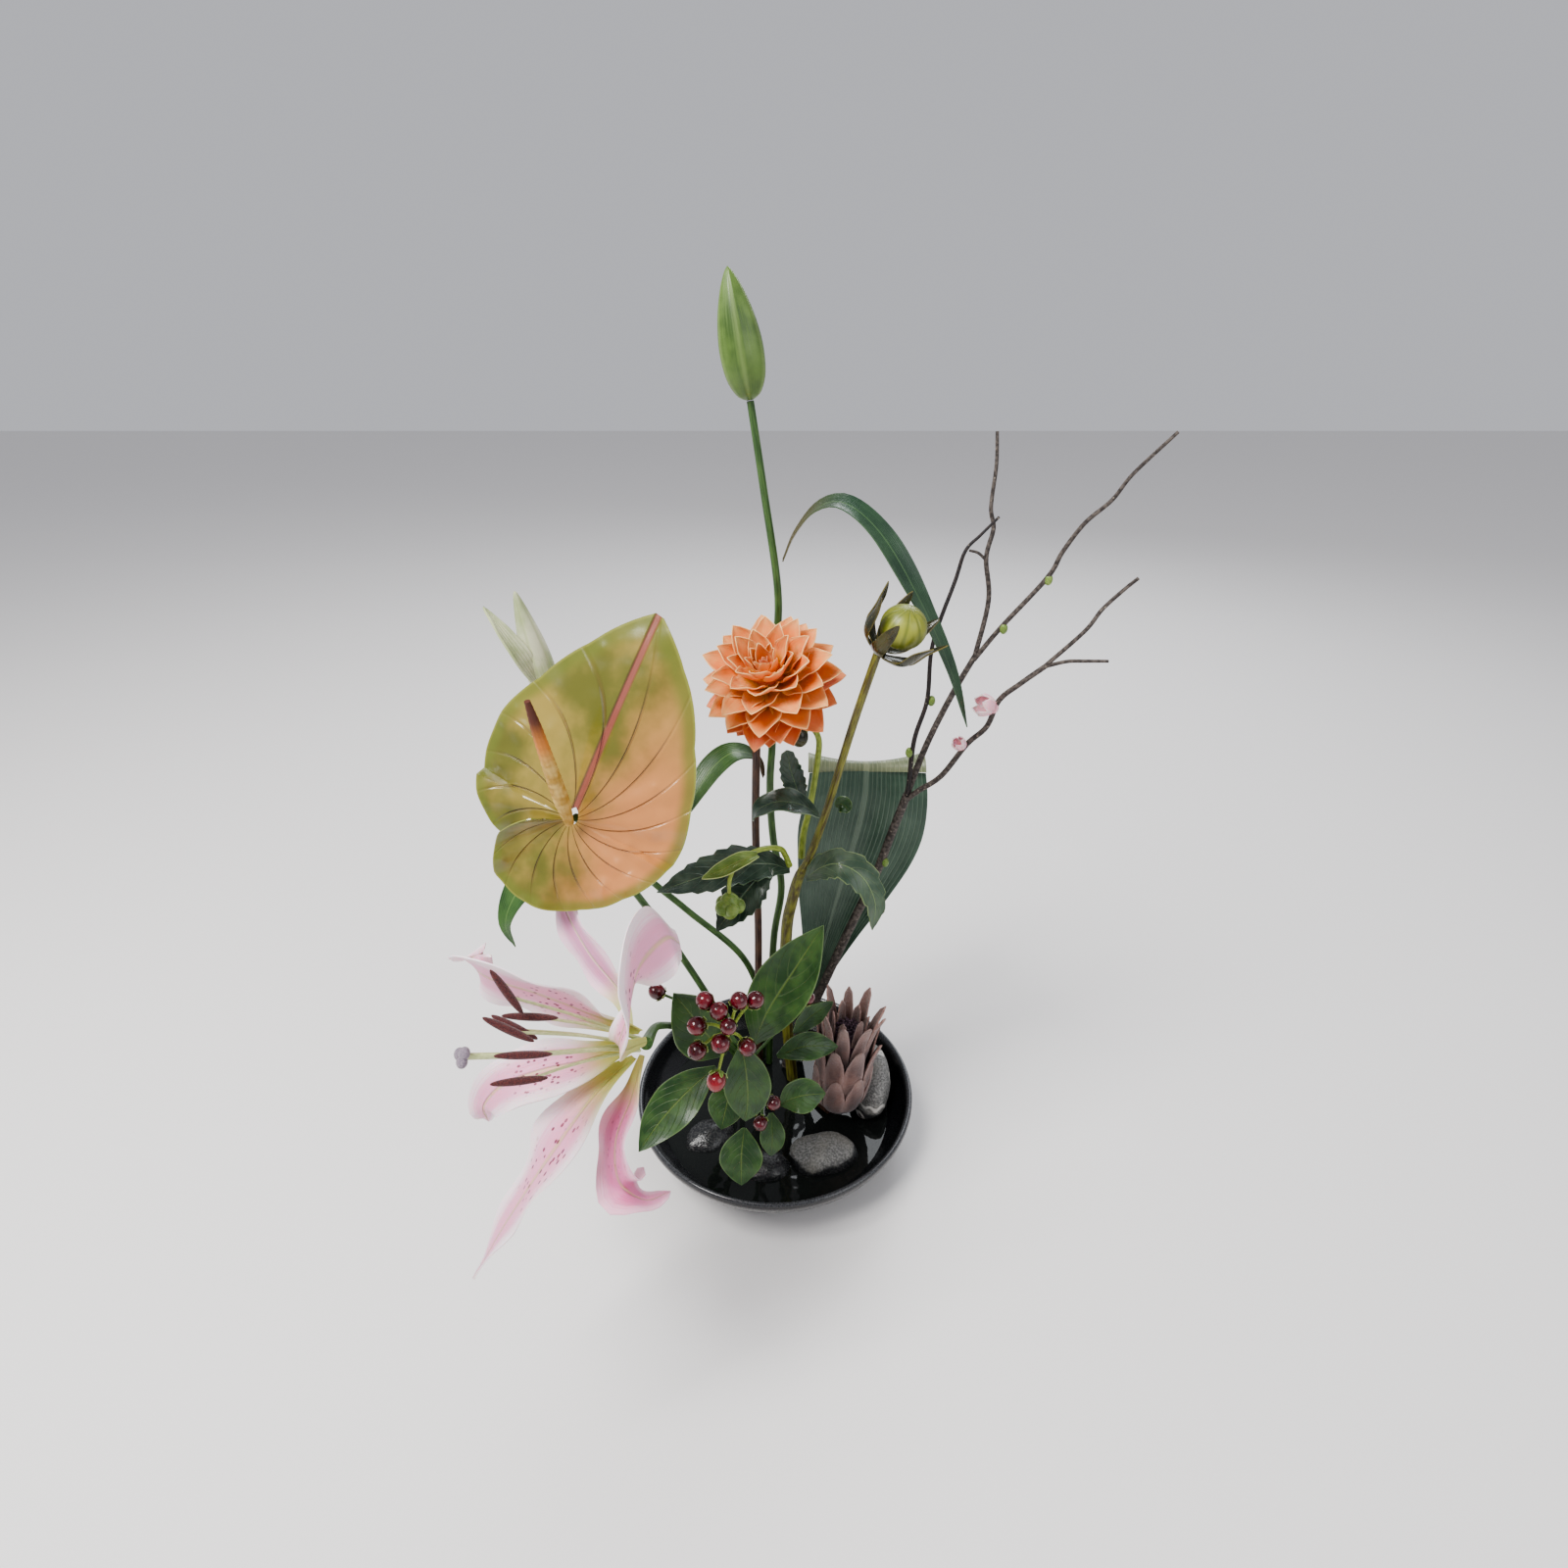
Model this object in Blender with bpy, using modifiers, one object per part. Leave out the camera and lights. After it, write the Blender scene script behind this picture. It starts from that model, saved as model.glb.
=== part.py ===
"""An ikebana arrangement standing in a wide black bowl.

Every stem starts on the kenzan, a lead pin holder on the floor of the bowl.  Routes are lists of
points in millimetres from the centre of the bowl's foot: X to the right, Y to the back, Z up.
"""

import math

import bmesh
import bpy
from mathutils import Matrix, Vector, noise

MM = 0.001

# Driving sizes, in millimetres.
BOWL_RADIUS = 110.0
BOWL_HEIGHT = 46.0
BOWL_FLOOR = 8.5
FOOT_RADIUS = 50.0
KENZAN_CENTRE = (0.0, 30.0)
KENZAN_RADIUS = 34.0
KENZAN_LEAD_TOP = 15.0
PIN_TOP = 22.0
PIN_PITCH = 12.0
STEM_FOOT = PIN_TOP + 0.5
LEAF_THICKNESS = 0.9
PETAL_THICKNESS = 0.9
FLORET_THICKNESS = 1.0
STEM_SIDES = 1

# The open lily: its throat, and the way its mouth points.
LILY_THROAT = Vector((-72.0, -156.0, 243.0))
LILY_AXIS = Vector((-0.66, -0.57, 0.48)).normalized()

# The dahlia bloom: its middle, its radius, and the way it faces.
BLOOM_CENTRE = Vector((-2.0, -14.0, 402.0))
BLOOM_RADIUS = 45.0
BLOOM_AXIS = Vector((-0.22, -0.50, 0.84)).normalized()

# The anthurium spathe: the notch it opens from, the way to its tip, and the way it faces.
SPATHE_NOTCH = Vector((-111.0, -88.0, 344.0))
SPATHE_TIP_WAY = Vector((52.0, 33.0, 110.0)).normalized()
SPATHE_FACING = Vector((-0.16, -0.86, 0.33))

COLOURS = {
    "bowl_black": ((0.012, 0.013, 0.015), 0.28, 0.0),
    "kenzan_lead": ((0.14, 0.14, 0.15), 0.5, 0.8),
    "stone_grey": ((0.10, 0.10, 0.095), 0.6, 0.0),
    "stem_green": ((0.07, 0.14, 0.04), 0.45, 0.0),
    "stem_brown": ((0.10, 0.05, 0.03), 0.5, 0.0),
    "stem_olive": ((0.16, 0.14, 0.03), 0.45, 0.0),
    "leaf_dark": ((0.02, 0.055, 0.02), 0.4, 0.0),
    "leaf_hypericum": ((0.03, 0.08, 0.008), 0.42, 0.0),
    "leaf_pale": ((0.22, 0.34, 0.10), 0.45, 0.0),
    "leaf_grey_green": ((0.06, 0.10, 0.07), 0.4, 0.0),
    "lily_bud_green": ((0.20, 0.30, 0.08), 0.5, 0.0),
    "lily_pink": ((0.72, 0.42, 0.55), 0.5, 0.0),
    "anther_maroon": ((0.05, 0.008, 0.010), 0.8, 0.0),
    "pistil_green": ((0.28, 0.36, 0.12), 0.5, 0.0),
    "spathe_olive": ((0.33, 0.23, 0.05), 0.25, 0.0),
    "spadix_tan": ((0.42, 0.26, 0.06), 0.6, 0.0),
    "dahlia_apricot": ((0.78, 0.32, 0.12), 0.55, 0.0),
    "dahlia_bud_green": ((0.28, 0.30, 0.06), 0.45, 0.0),
    "bark_brown": ((0.06, 0.042, 0.035), 0.75, 0.0),
    "blossom_pink": ((0.80, 0.58, 0.60), 0.5, 0.0),
    "berry_burgundy": ((0.07, 0.006, 0.015), 0.15, 0.0),
    "protea_mauve": ((0.20, 0.10, 0.09), 0.7, 0.0),
}


# ---------------------------------------------------------------------------------------------
# Tools


def clear_scene():
    for thing in list(bpy.data.objects):
        bpy.data.objects.remove(thing, do_unlink=True)


def new_collection(name):
    collection = bpy.data.collections.new(name)
    bpy.context.scene.collection.children.link(collection)
    return collection


def material_of(slot):
    """The material of this slot, made the first time it is asked for."""
    if slot in bpy.data.materials:
        return bpy.data.materials[slot]
    colour, roughness, metallic = COLOURS[slot]
    material = bpy.data.materials.new(slot)
    material.use_nodes = True
    shader = material.node_tree.nodes["Principled BSDF"]
    shader.inputs["Base Color"].default_value = (*colour, 1.0)
    shader.inputs["Roughness"].default_value = roughness
    shader.inputs["Metallic"].default_value = metallic
    material.diffuse_color = (*colour, 1.0)
    return material


def smooth(points, steps):
    """Points along a Catmull-Rom curve through the given ones."""
    points = [Vector(point) for point in points]
    ends = [2 * points[0] - points[1]] + points + [2 * points[-1] - points[-2]]
    route = []
    for a, b, c, d in zip(ends, ends[1:], ends[2:], ends[3:]):
        for step in range(steps):
            t = step / steps
            bend = (2 * a - 5 * b + 4 * c - d) * t * t + (3 * b - a - 3 * c + d) * t**3
            route.append(0.5 * (2 * b + (c - a) * t + bend))
    route.append(points[-1])
    return route


def along(values, t):
    """The value at share t of a list of values, numbers or vectors, that are evenly spaced."""
    place = min(max(t, 0.0), 1.0) * (len(values) - 1)
    low = min(int(place), len(values) - 2)
    share = place - low
    return values[low] * (1 - share) + values[low + 1] * share


def spread(points, count):
    """count + 1 points evenly spaced along a smooth route through the given ones."""
    fine = smooth(points, 12)
    lengths = [0.0]
    for a, b in zip(fine, fine[1:]):
        lengths.append(lengths[-1] + (b - a).length)
    route = []
    k = 0
    for i in range(count + 1):
        target = lengths[-1] * i / count
        while k < len(fine) - 2 and lengths[k + 1] < target:
            k += 1
        share = (target - lengths[k]) / max(lengths[k + 1] - lengths[k], 1e-9)
        route.append(fine[k].lerp(fine[k + 1], min(share, 1.0)))
    return route


def finish(thing, slot, collection):
    thing.data.materials.append(material_of(slot))
    collection.objects.link(thing)
    return thing


def mesh_object(name, build):
    """An object whose mesh the function build fills."""
    mesh = bpy.data.meshes.new(name)
    shape = bmesh.new()
    build(shape)
    bmesh.ops.recalc_face_normals(shape, faces=shape.faces[:])
    shape.to_mesh(mesh)
    shape.free()
    return bpy.data.objects.new(name, mesh)


def tube(name, points, radii, steps=3):
    """A round stem along a route, its radius following the list of radii from end to end."""
    route = smooth([Vector(point) * MM for point in points], steps)
    curve = bpy.data.curves.new(name, "CURVE")
    curve.dimensions = "3D"
    curve.bevel_depth = MM
    curve.bevel_resolution = STEM_SIDES
    curve.use_fill_caps = True
    spline = curve.splines.new("POLY")
    spline.points.add(len(route) - 1)
    for i, (point, place) in enumerate(zip(spline.points, route)):
        point.co = (*place, 1.0)
        point.radius = along(radii, i / (len(route) - 1))
    return bpy.data.objects.new(name, curve)


def as_mesh(thing):
    """The same shape as a closed mesh object, with its modifiers and its placing worked in."""
    bpy.context.scene.collection.objects.link(thing)
    graph = bpy.context.evaluated_depsgraph_get()
    made = thing.evaluated_get(graph)
    mesh = bpy.data.meshes.new_from_object(made)
    shape = bmesh.new()
    shape.from_mesh(mesh)
    shape.transform(made.matrix_world)
    bmesh.ops.remove_doubles(shape, verts=shape.verts[:], dist=1e-6)
    bmesh.ops.recalc_face_normals(shape, faces=shape.faces[:])
    shape.to_mesh(mesh)
    shape.free()
    solid = bpy.data.objects.new(thing.name + "_solid", mesh)
    bpy.data.objects.remove(thing, do_unlink=True)
    return solid


def blade(name, spine, widths, facing, bend=(0.0,), rows=8, columns=4, thickness=LEAF_THICKNESS):
    """A leaf or petal: a grid bent onto its spine, then thickened.

    widths are full widths from base to tip, facing is the way its upper face points, as one or
    more vectors from base to tip, and bend is how far it curls across, in radians to each edge.
    """
    route = spread([Vector(point) * MM for point in spine], rows)
    facings = [Vector(way) for way in facing]
    facings = facings if len(facings) > 1 else facings * 2
    bends = list(bend) if len(bend) > 1 else list(bend) * 2
    outline = smooth([Vector((width, 0, 0)) for width in widths], 6)

    def build(shape):
        made = bmesh.ops.create_grid(shape, x_segments=columns, y_segments=rows, size=1.0)
        for vertex in made["verts"]:
            s = vertex.co.x
            t = (vertex.co.y + 1) / 2
            i = round(t * rows)
            ahead = route[min(i + 1, rows)] - route[max(i - 1, 0)]
            side = ahead.cross(along(facings, t)).normalized()
            up = side.cross(ahead).normalized()
            half = max(along(outline, t).x, 0.8) * MM / 2
            curl = along(bends, t)
            if abs(curl) > 0.02:
                out = math.sin(s * curl) / curl
                rise = (1 - math.cos(s * curl)) / curl
            else:
                out = s
                rise = 0.0
            vertex.co = route[i] + side * out * half + up * rise * half

    thing = mesh_object(name, build)
    thicken = thing.modifiers.new("thickness", "SOLIDIFY")
    thicken.thickness = thickness * MM
    thicken.offset = 0.0
    return thing


def ball(name, centre, radius, detail=2, stretch=(1, 1, 1), way=(0, 0, 1)):
    """A round solid, stretched along its own axes and then turned so that its Z points along way."""
    turn = Vector(way).to_track_quat("Z", "Y").to_matrix().to_4x4()
    place = Matrix.Translation(Vector(centre) * MM) @ turn @ Matrix.Diagonal((*stretch, 1.0))

    def build(shape):
        bmesh.ops.create_icosphere(shape, subdivisions=detail, radius=radius * MM, matrix=place)

    return mesh_object(name, build)


def turned(name, profile, base, way, sides=16):
    """A solid of revolution: its profile of (radius, height) points, top first, round an axis."""

    def build(shape):
        line = [shape.verts.new((radius * MM, 0.0, height * MM)) for radius, height in profile]
        for a, b in zip(line, line[1:]):
            shape.edges.new((a, b))

    thing = mesh_object(name, build)
    spin = thing.modifiers.new("spin", "SCREW")
    spin.steps = sides
    spin.render_steps = sides
    spin.use_merge_vertices = True
    spin.merge_threshold = 0.00001
    spin.use_normal_calculate = True
    thing.location = Vector(base) * MM
    thing.rotation_mode = "QUATERNION"
    thing.rotation_quaternion = Vector(way).to_track_quat("Z", "Y")
    return thing


def join(name, body, others):
    """One solid made of body and everything in others."""
    helpers = new_collection(name + "_parts")
    for other in others:
        helpers.objects.link(other)
        other.hide_render = True
        other.display_type = "WIRE"
    union = body.modifiers.new("join", "BOOLEAN")
    union.operation = "UNION"
    union.operand_type = "COLLECTION"
    union.collection = helpers
    union.solver = "EXACT"
    joined = as_mesh(body)
    joined.name = name
    for other in others:
        bpy.data.objects.remove(other, do_unlink=True)
    bpy.data.collections.remove(helpers)
    return joined


# ---------------------------------------------------------------------------------------------
# Bowl, kenzan, stones


def make_bowl(arrangement):
    rim = BOWL_RADIUS
    top = BOWL_HEIGHT
    outside = [(rim - 2, top), (rim, top - 2), (rim - 1, top - 7), (rim - 6, top - 16)]
    outside += [(rim - 15, top - 26), (rim - 27, top - 35), (rim - 40, 5.0), (FOOT_RADIUS, 4.0)]
    foot = [(FOOT_RADIUS - 1, 0.0), (0.0, 0.0)]
    inside = [(0.0, BOWL_FLOOR), (rim - 42, BOWL_FLOOR), (rim - 33, 12.0), (rim - 23, 18.0)]
    inside += [(rim - 14, 26.0), (rim - 8, 34.0), (rim - 5, top - 3)]
    profile = inside + outside + foot
    bowl = turned("bowl", profile, (0, 0, 0), (0, 0, 1), sides=40)
    finish(bowl, "bowl_black", arrangement)


def make_kenzan(arrangement):
    x, y = KENZAN_CENTRE
    bottom = BOWL_FLOOR + 0.3
    lead = [(0.0, KENZAN_LEAD_TOP), (KENZAN_RADIUS - 1, KENZAN_LEAD_TOP)]
    lead += [(KENZAN_RADIUS, KENZAN_LEAD_TOP - 1), (KENZAN_RADIUS, bottom), (0.0, bottom)]
    body = as_mesh(turned("kenzan_lead", lead, (x, y, 0), (0, 0, 1), sides=28))
    pins = []
    reach = int(KENZAN_RADIUS // PIN_PITCH)
    for row in range(-reach, reach + 1):
        for column in range(-reach, reach + 1):
            across = column * PIN_PITCH
            back = row * PIN_PITCH
            if math.hypot(across, back) > KENZAN_RADIUS - 3:
                continue
            pin = [(0.0, PIN_TOP), (0.7, PIN_TOP - 2), (0.8, KENZAN_LEAD_TOP - 1)]
            pin.append((0.0, KENZAN_LEAD_TOP - 1))
            name = f"pin_{len(pins)}"
            pins.append(as_mesh(turned(name, pin, (x + across, y + back, 0), (0, 0, 1), sides=6)))
    finish(join("kenzan", body, pins), "kenzan_lead", arrangement)


def make_stone(name, centre, halves, turn, lumps, seed, arrangement):
    """A river stone: a ball with gentle lumps, turned by turn degrees about X, Y and Z."""
    angles = [math.radians(angle) for angle in turn]
    spin = Matrix.Rotation(angles[2], 4, "Z") @ Matrix.Rotation(angles[1], 4, "Y")
    spin = spin @ Matrix.Rotation(angles[0], 4, "X")

    def build(shape):
        bmesh.ops.create_icosphere(shape, subdivisions=3, radius=1.0)
        for vertex in shape.verts:
            way = vertex.co.normalized()
            push = 1 + lumps * noise.noise(way * 1.3 + Vector((seed, 0, 0)))
            local = Vector([way[k] * halves[k] * push for k in range(3)])
            vertex.co = (spin @ local + Vector(centre)) * MM

    finish(mesh_object(name, build), "stone_grey", arrangement)


def make_stones(arrangement):
    make_stone("stone_front", (38, -49, 23), (27, 18, 13), (0, 4, 12), 0.12, 3.1, arrangement)
    make_stone("stone_right", (76, 16, 34), (15, 36, 24), (0, 28, 4), 0.10, 7.7, arrangement)
    make_stone("stone_left", (-52, -30, 20), (20, 15, 10.5), (0, 0, 30), 0.12, 11.3, arrangement)
    make_stone("stone_dark", (-8, -58, 20), (20, 14, 10), (0, 0, -8), 0.12, 5.9, arrangement)


# ---------------------------------------------------------------------------------------------
# Lilies


def make_tall_lily(arrangement):
    route = [(-6, 46, STEM_FOOT), (-4, 45, 90), (-1, 43, 160), (5, 42, 209), (-1, 41, 253)]
    route += [(-3, 40, 296), (-1, 39, 334), (2, 37, 400), (3, 36, 440), (-5, 32, 500), (-12, 28, 549)]
    finish(tube("lily_tall_stem", route, (2.9, 2.8, 2.7, 2.5, 2.1)), "stem_green", arrangement)

    tip_way = Vector((-11, 0, 65))
    profile = [(0.0, 66), (2.6, 63), (6.5, 55), (10.5, 42), (12.6, 27), (11.5, 13), (7.5, 4),
        (2.8, 0.6), (0.0, 0.4)]
    finish(turned("lily_tall_bud", profile, (-12, 28, 549.3), tip_way, 14), "lily_bud_green", arrangement)

    spine = [(6.5, 35.5, 458), (14, 28, 476), (27, 17, 493), (43, 10, 496), (64, 4, 479)]
    spine += [(86, -4, 445), (107, -8, 404), (121, -12, 366)]
    widths = (3, 10, 15, 17.5, 18, 17, 11, 1.6)
    facing = ((-0.7, -0.2, 0.7), (-0.3, -0.3, 1), (0.2, -0.3, 1), (0.7, -0.5, 0.6))
    leaf = blade("lily_leaf_right", spine, widths, facing, (0.5, 0.3, 0.5), rows=12)
    finish(leaf, "leaf_dark", arrangement)

    spine = [(-7.5, 38, 306), (-10, 33, 320), (-18, 24, 331), (-29, 14, 335), (-40, 5, 329)]
    spine += [(-50, -6, 317), (-62, -18, 298)]
    widths = (3, 9, 16, 19, 18, 12, 1.6)
    leaf = blade("lily_leaf_left", spine, widths, ((0.3, -0.5, 1), (-0.5, -0.5, 1)), (0.4,), rows=10)
    finish(leaf, "leaf_dark", arrangement)


def make_side_lily(arrangement):
    route = [(-12, 53, STEM_FOOT), (-11, 50, 80), (-26, 43, 140), (-68, 35, 193), (-99, 28, 234)]
    route += [(-128, 25, 290), (-143, 23, 352)]
    finish(tube("lily_side_stem", route, (2.7, 2.5, 2.3)), "stem_green", arrangement)

    profile = [(0.0, 92), (1.5, 90), (4.5, 78), (8.0, 60), (9.6, 42), (8.6, 22), (5.0, 6),
        (2.4, 0.6), (0.0, 0.5)]
    bud = as_mesh(turned("bud", profile, (-143, 23, 352), (-16, -1, 90), 12))
    peel = [(-150, 14, 385), (-157, 10, 404), (-167, 12, 420), (-178, 17, 434)]
    petal = blade("peel", peel, (8, 14, 10, 1.6), ((1, -0.8, 0.5),), (0.6,), 6, 2, 1.4)
    finish(join("lily_opening_bud", bud, [as_mesh(petal)]), "lily_bud_green", arrangement)

    spine = [(-113, 23, 256), (-132, 18, 262), (-160, 9, 255), (-180, -2, 236), (-189, -12, 216),
        (-183, -18, 199)]
    widths = (3, 16, 24, 24, 16, 1.6)
    leaf = blade("lily_side_leaf", spine, widths, ((0, -0.8, 0.7), (-0.6, -0.7, 0.2)), (0.4,), rows=9)
    finish(leaf, "leaf_dark", arrangement)


def around_throat(angle, radius, forward):
    """A point on a ring round the lily's axis; forward is the distance along it from the throat."""
    across = LILY_AXIS.orthogonal().normalized()
    spin = Matrix.Rotation(math.radians(angle), 3, LILY_AXIS)
    return LILY_THROAT + spin @ across * radius + LILY_AXIS * forward


def make_lily_stem(arrangement):
    back = LILY_THROAT - LILY_AXIS * 6
    route = [(-22, 20, STEM_FOOT), (-34, 2, 80), (-52, -32, 130), (-66, -62, 166), (-70, -88, 192),
        (-69, -122, 222)]
    route.append(tuple(back))
    finish(tube("lily_flower_stem", route, (2.8, 2.4, 2.3, 2.3, 2.4, 3.6)), "stem_green", arrangement)


def angle_round_throat(point):
    """The angle of a point round the lily's axis, in degrees."""
    across = LILY_AXIS.orthogonal().normalized()
    reach = Vector(point) - LILY_THROAT
    return math.degrees(math.atan2(reach.dot(LILY_AXIS.cross(across)), reach.dot(across)))


def ring_starts(ends, radius):
    """Evenly spaced angles round the throat, in the order in which the ends lie round it."""
    angles = [angle_round_throat(end) for end in ends]
    order = sorted(range(len(ends)), key=lambda k: angles[k])
    step = 360 / len(ends)
    first = sum(angles[k] - step * place for place, k in enumerate(order)) / len(ends)
    starts = {k: first + step * place for place, k in enumerate(order)}
    return [around_throat(starts[k], radius, 0.0) for k in range(len(ends))]


def make_tepals(arrangement):
    """Six tepals; each route goes on from the ring round the throat."""
    inward = LILY_THROAT + LILY_AXIS * 60
    tepals = [
        (
            [(-91, -157, 264), (-116, -165, 286), (-140, -168, 300), (-150, -160, 304), (-148, -150, 300)],
            (5, 22, 34, 38, 32, 12),
        ),
        (
            [(-82, -138, 262), (-102, -119, 275), (-120, -93, 287), (-130, -68, 296)],
            (5, 18, 26, 22, 4),
        ),
        (
            [(-76, -178, 262), (-70, -177, 284), (-66, -162, 301), (-55, -140, 302), (-50, -127, 288)],
            (5, 12, 22, 42, 40, 16),
        ),
        (
            [(-98, -168, 243), (-120, -173, 241), (-140, -176, 234), (-152, -177, 220), (-153, -174, 205)],
            (5, 20, 30, 30, 22, 5),
        ),
        (
            [(-92, -179, 230), (-113, -200, 209), (-135, -213, 178), (-149, -220, 155), (-157, -221, 141)],
            (5, 26, 38, 34, 18, 5),
        ),
        (
            [(-73, -176, 226), (-80, -192, 212), (-78, -203, 194), (-66, -203, 179), (-54, -194, 174)],
            (5, 16, 27, 29, 24, 6),
        ),
    ]
    starts = ring_starts([points[1] for points, _ in tepals], 7.5)
    for number, ((points, widths), start) in enumerate(zip(tepals, starts), start=1):
        spine = [tuple(start)] + points
        middle = Vector(points[1])
        facing = (inward - start, inward - middle, LILY_AXIS * 1.0)
        leaf = blade(f"lily_tepal_{number}", spine, widths, facing, (0.9, 0.3, 0.2), 10, 4, PETAL_THICKNESS)
        finish(leaf, "lily_pink", arrangement)


def make_stamens(arrangement):
    """Six stamens: a filament with an anther lying across its end."""
    stamens = [
        ((-110, -192, 296), (-0.95, -0.18, 0.22)),
        ((-119, -196, 312), (-0.5, 0.2, 0.8)),
        ((-117, -204, 298), (-0.85, 0.1, 0.45)),
        ((-110, -208, 288), (-0.95, -0.2, 0.15)),
        ((-113, -211, 275), (-0.95, -0.25, 0.1)),
        ((-120, -190, 286), (-0.9, 0.3, 0.3)),
    ]
    starts = ring_starts([end for end, _ in stamens], 3.7)
    for number, ((end, lie), start) in enumerate(zip(stamens, starts), start=1):
        middle = (start + Vector(end)) / 2 + Vector((0, 0, 2))
        filament = as_mesh(tube(f"filament_{number}", [tuple(start), tuple(middle), end], (0.9, 0.8, 0.7)))
        place = Vector(end) + Vector(lie) * 3
        anther = ball(f"anther_{number}", place, 1.0, 2, (2.1, 1.8, 13.0), lie)
        finish(join(f"lily_stamen_{number}", filament, [anther]), "anther_maroon", arrangement)


def make_pistil(arrangement):
    stigma = (-139, -213, 292)
    start = LILY_THROAT + LILY_AXIS * 0.5
    route = [tuple(start), (-92, -179, 262), (-115, -199, 279), stigma]
    style = as_mesh(tube("style", route, (1.5, 1.3, 1.6)))
    lobes = []
    for lobe in range(3):
        spin = Matrix.Rotation(math.radians(120 * lobe), 3, LILY_AXIS)
        push = spin @ LILY_AXIS.orthogonal().normalized() * 2.4
        lobes.append(ball(f"lobe_{lobe}", Vector(stigma) + push, 3.0, 2, (1, 1, 0.8), LILY_AXIS))
    finish(join("lily_pistil", style, lobes), "pistil_green", arrangement)


# ---------------------------------------------------------------------------------------------
# Anthurium


def spathe_reach(angle):
    """Distance in mm from the notch to the spathe's edge, at an angle in degrees from its tip."""
    stations = (
        (-130, 42), (-100, 57), (-61, 72), (-37, 80), (-17, 98), (0, 124), (14, 104), (36, 80),
        (60, 68), (90, 62), (120, 53), (150, 51), (180, 54), (210, 53), (235, 38), (250, 18),
    )
    for (a, low), (b, high) in zip(stations, stations[1:]):
        if angle <= b:
            return low + (high - low) * (angle - a) / (b - a)
    return stations[-1][1]


def make_spathe(arrangement):
    """A heart with its lower lobe lapping in front of the left one."""
    first, last = -130.0, 250.0
    turns, rings = 26, 4
    up = SPATHE_TIP_WAY
    facing = (SPATHE_FACING - up * SPATHE_FACING.dot(up)).normalized()
    right = up.cross(facing)

    def build(shape):
        made = bmesh.ops.create_grid(shape, x_segments=turns, y_segments=rings, size=1.0)
        for vertex in made["verts"]:
            angle = first + (last - first) * (vertex.co.x + 1) / 2
            share = 0.06 + 0.94 * (vertex.co.y + 1) / 2
            reach = spathe_reach(angle) * share
            turn = math.radians(angle)
            sideways = math.sin(turn) * reach
            upward = math.cos(turn) * reach
            lap = max(0.0, (angle - 150) / 100) * 9 - max(0.0, (-angle - 60) / 70) * 5
            height = 4 * share - 0.0022 * sideways**2 * (upward > 0) - 0.0006 * upward**2 + lap * share
            spot = SPATHE_NOTCH + right * sideways + up * upward + facing * height
            vertex.co = spot * MM

    spathe = mesh_object("anthurium_spathe", build)
    thicken = spathe.modifiers.new("thickness", "SOLIDIFY")
    thicken.thickness = LEAF_THICKNESS * MM
    thicken.offset = 0.0
    finish(spathe, "spathe_olive", arrangement)


def make_anthurium(arrangement):
    route = [(-24, 34, STEM_FOOT), (-48, 18, 110), (-74, 2, 185), (-83, -5, 211), (-98, -24, 259)]
    route += [(-107, -58, 315), (-111, -79, 340)]
    finish(tube("anthurium_stem", route, (2.7, 2.6, 2.3)), "stem_green", arrangement)
    make_spathe(arrangement)
    spadix = tube("anthurium_spadix", [(-110, -96, 346), (-114, -104, 384), (-118, -112, 424)],
        (2.5, 4.3, 4.1, 3.6, 3.0, 1.6), 4)
    finish(spadix, "spadix_tan", arrangement)


# ---------------------------------------------------------------------------------------------
# Dahlia


def bloom_point(angle, out, up):
    """A point of the bloom: angle round its axis, distance out from it, and height along it."""
    across = BLOOM_AXIS.orthogonal().normalized()
    spin = Matrix.Rotation(math.radians(angle), 3, BLOOM_AXIS)
    return BLOOM_CENTRE + spin @ across * out + BLOOM_AXIS * up


def floret(name, angle, tilt, length, width, cup):
    """One pointed floret, leaving the heart at angle and rising at tilt degrees."""
    rise = math.radians(tilt)
    spine = []
    for share in (0.2, 0.5, 0.8, 1.0):
        lift = rise + 0.25 * (share - 0.5)
        spine.append(tuple(bloom_point(angle, length * share * math.cos(lift),
            length * share * math.sin(lift) - 6)))
    spine_middle = Vector(spine[1]) - BLOOM_CENTRE
    facing = BLOOM_AXIS * math.cos(rise) * 60 - spine_middle * math.sin(rise)
    widths = (width * 0.5, width, width * 0.75, 1.2)
    return as_mesh(blade(name, spine, widths, (facing,), (cup,), 3, 2, FLORET_THICKNESS))


def make_bloom(arrangement):
    rings = [
        (10, -42, 0.93, 22, 0.5, 5),
        (10, -16, 1.00, 22, 0.5, 20),
        (10, 10, 1.00, 20, 0.6, 0),
        (8, 33, 0.92, 17, 0.7, 12),
        (7, 54, 0.78, 13, 0.9, 30),
        (5, 73, 0.60, 8, 0.9, 0),
    ]
    florets = []
    for ring, (count, tilt, share, width, cup, start) in enumerate(rings):
        for k in range(count):
            angle = start + 360 * k / count + 4 * math.sin(2.3 * k + ring)
            length = BLOOM_RADIUS * share * (1 + 0.04 * math.sin(3.1 * k + 1.7 * ring))
            florets.append(floret(f"floret_{ring}_{k}", angle, tilt + 4 * math.sin(1.9 * k + ring),
                length, width, cup))
    heart = ball("heart", BLOOM_CENTRE - BLOOM_AXIS * 6, 13.0, 2)
    calyx = as_mesh(tube("calyx", [(-4, -4, 392), (-9, 2, 368), (-11, 7, 347)], (3.4, 2.7)))
    finish(join("dahlia_bloom", heart, florets + [calyx]), "dahlia_apricot", arrangement)


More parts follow.
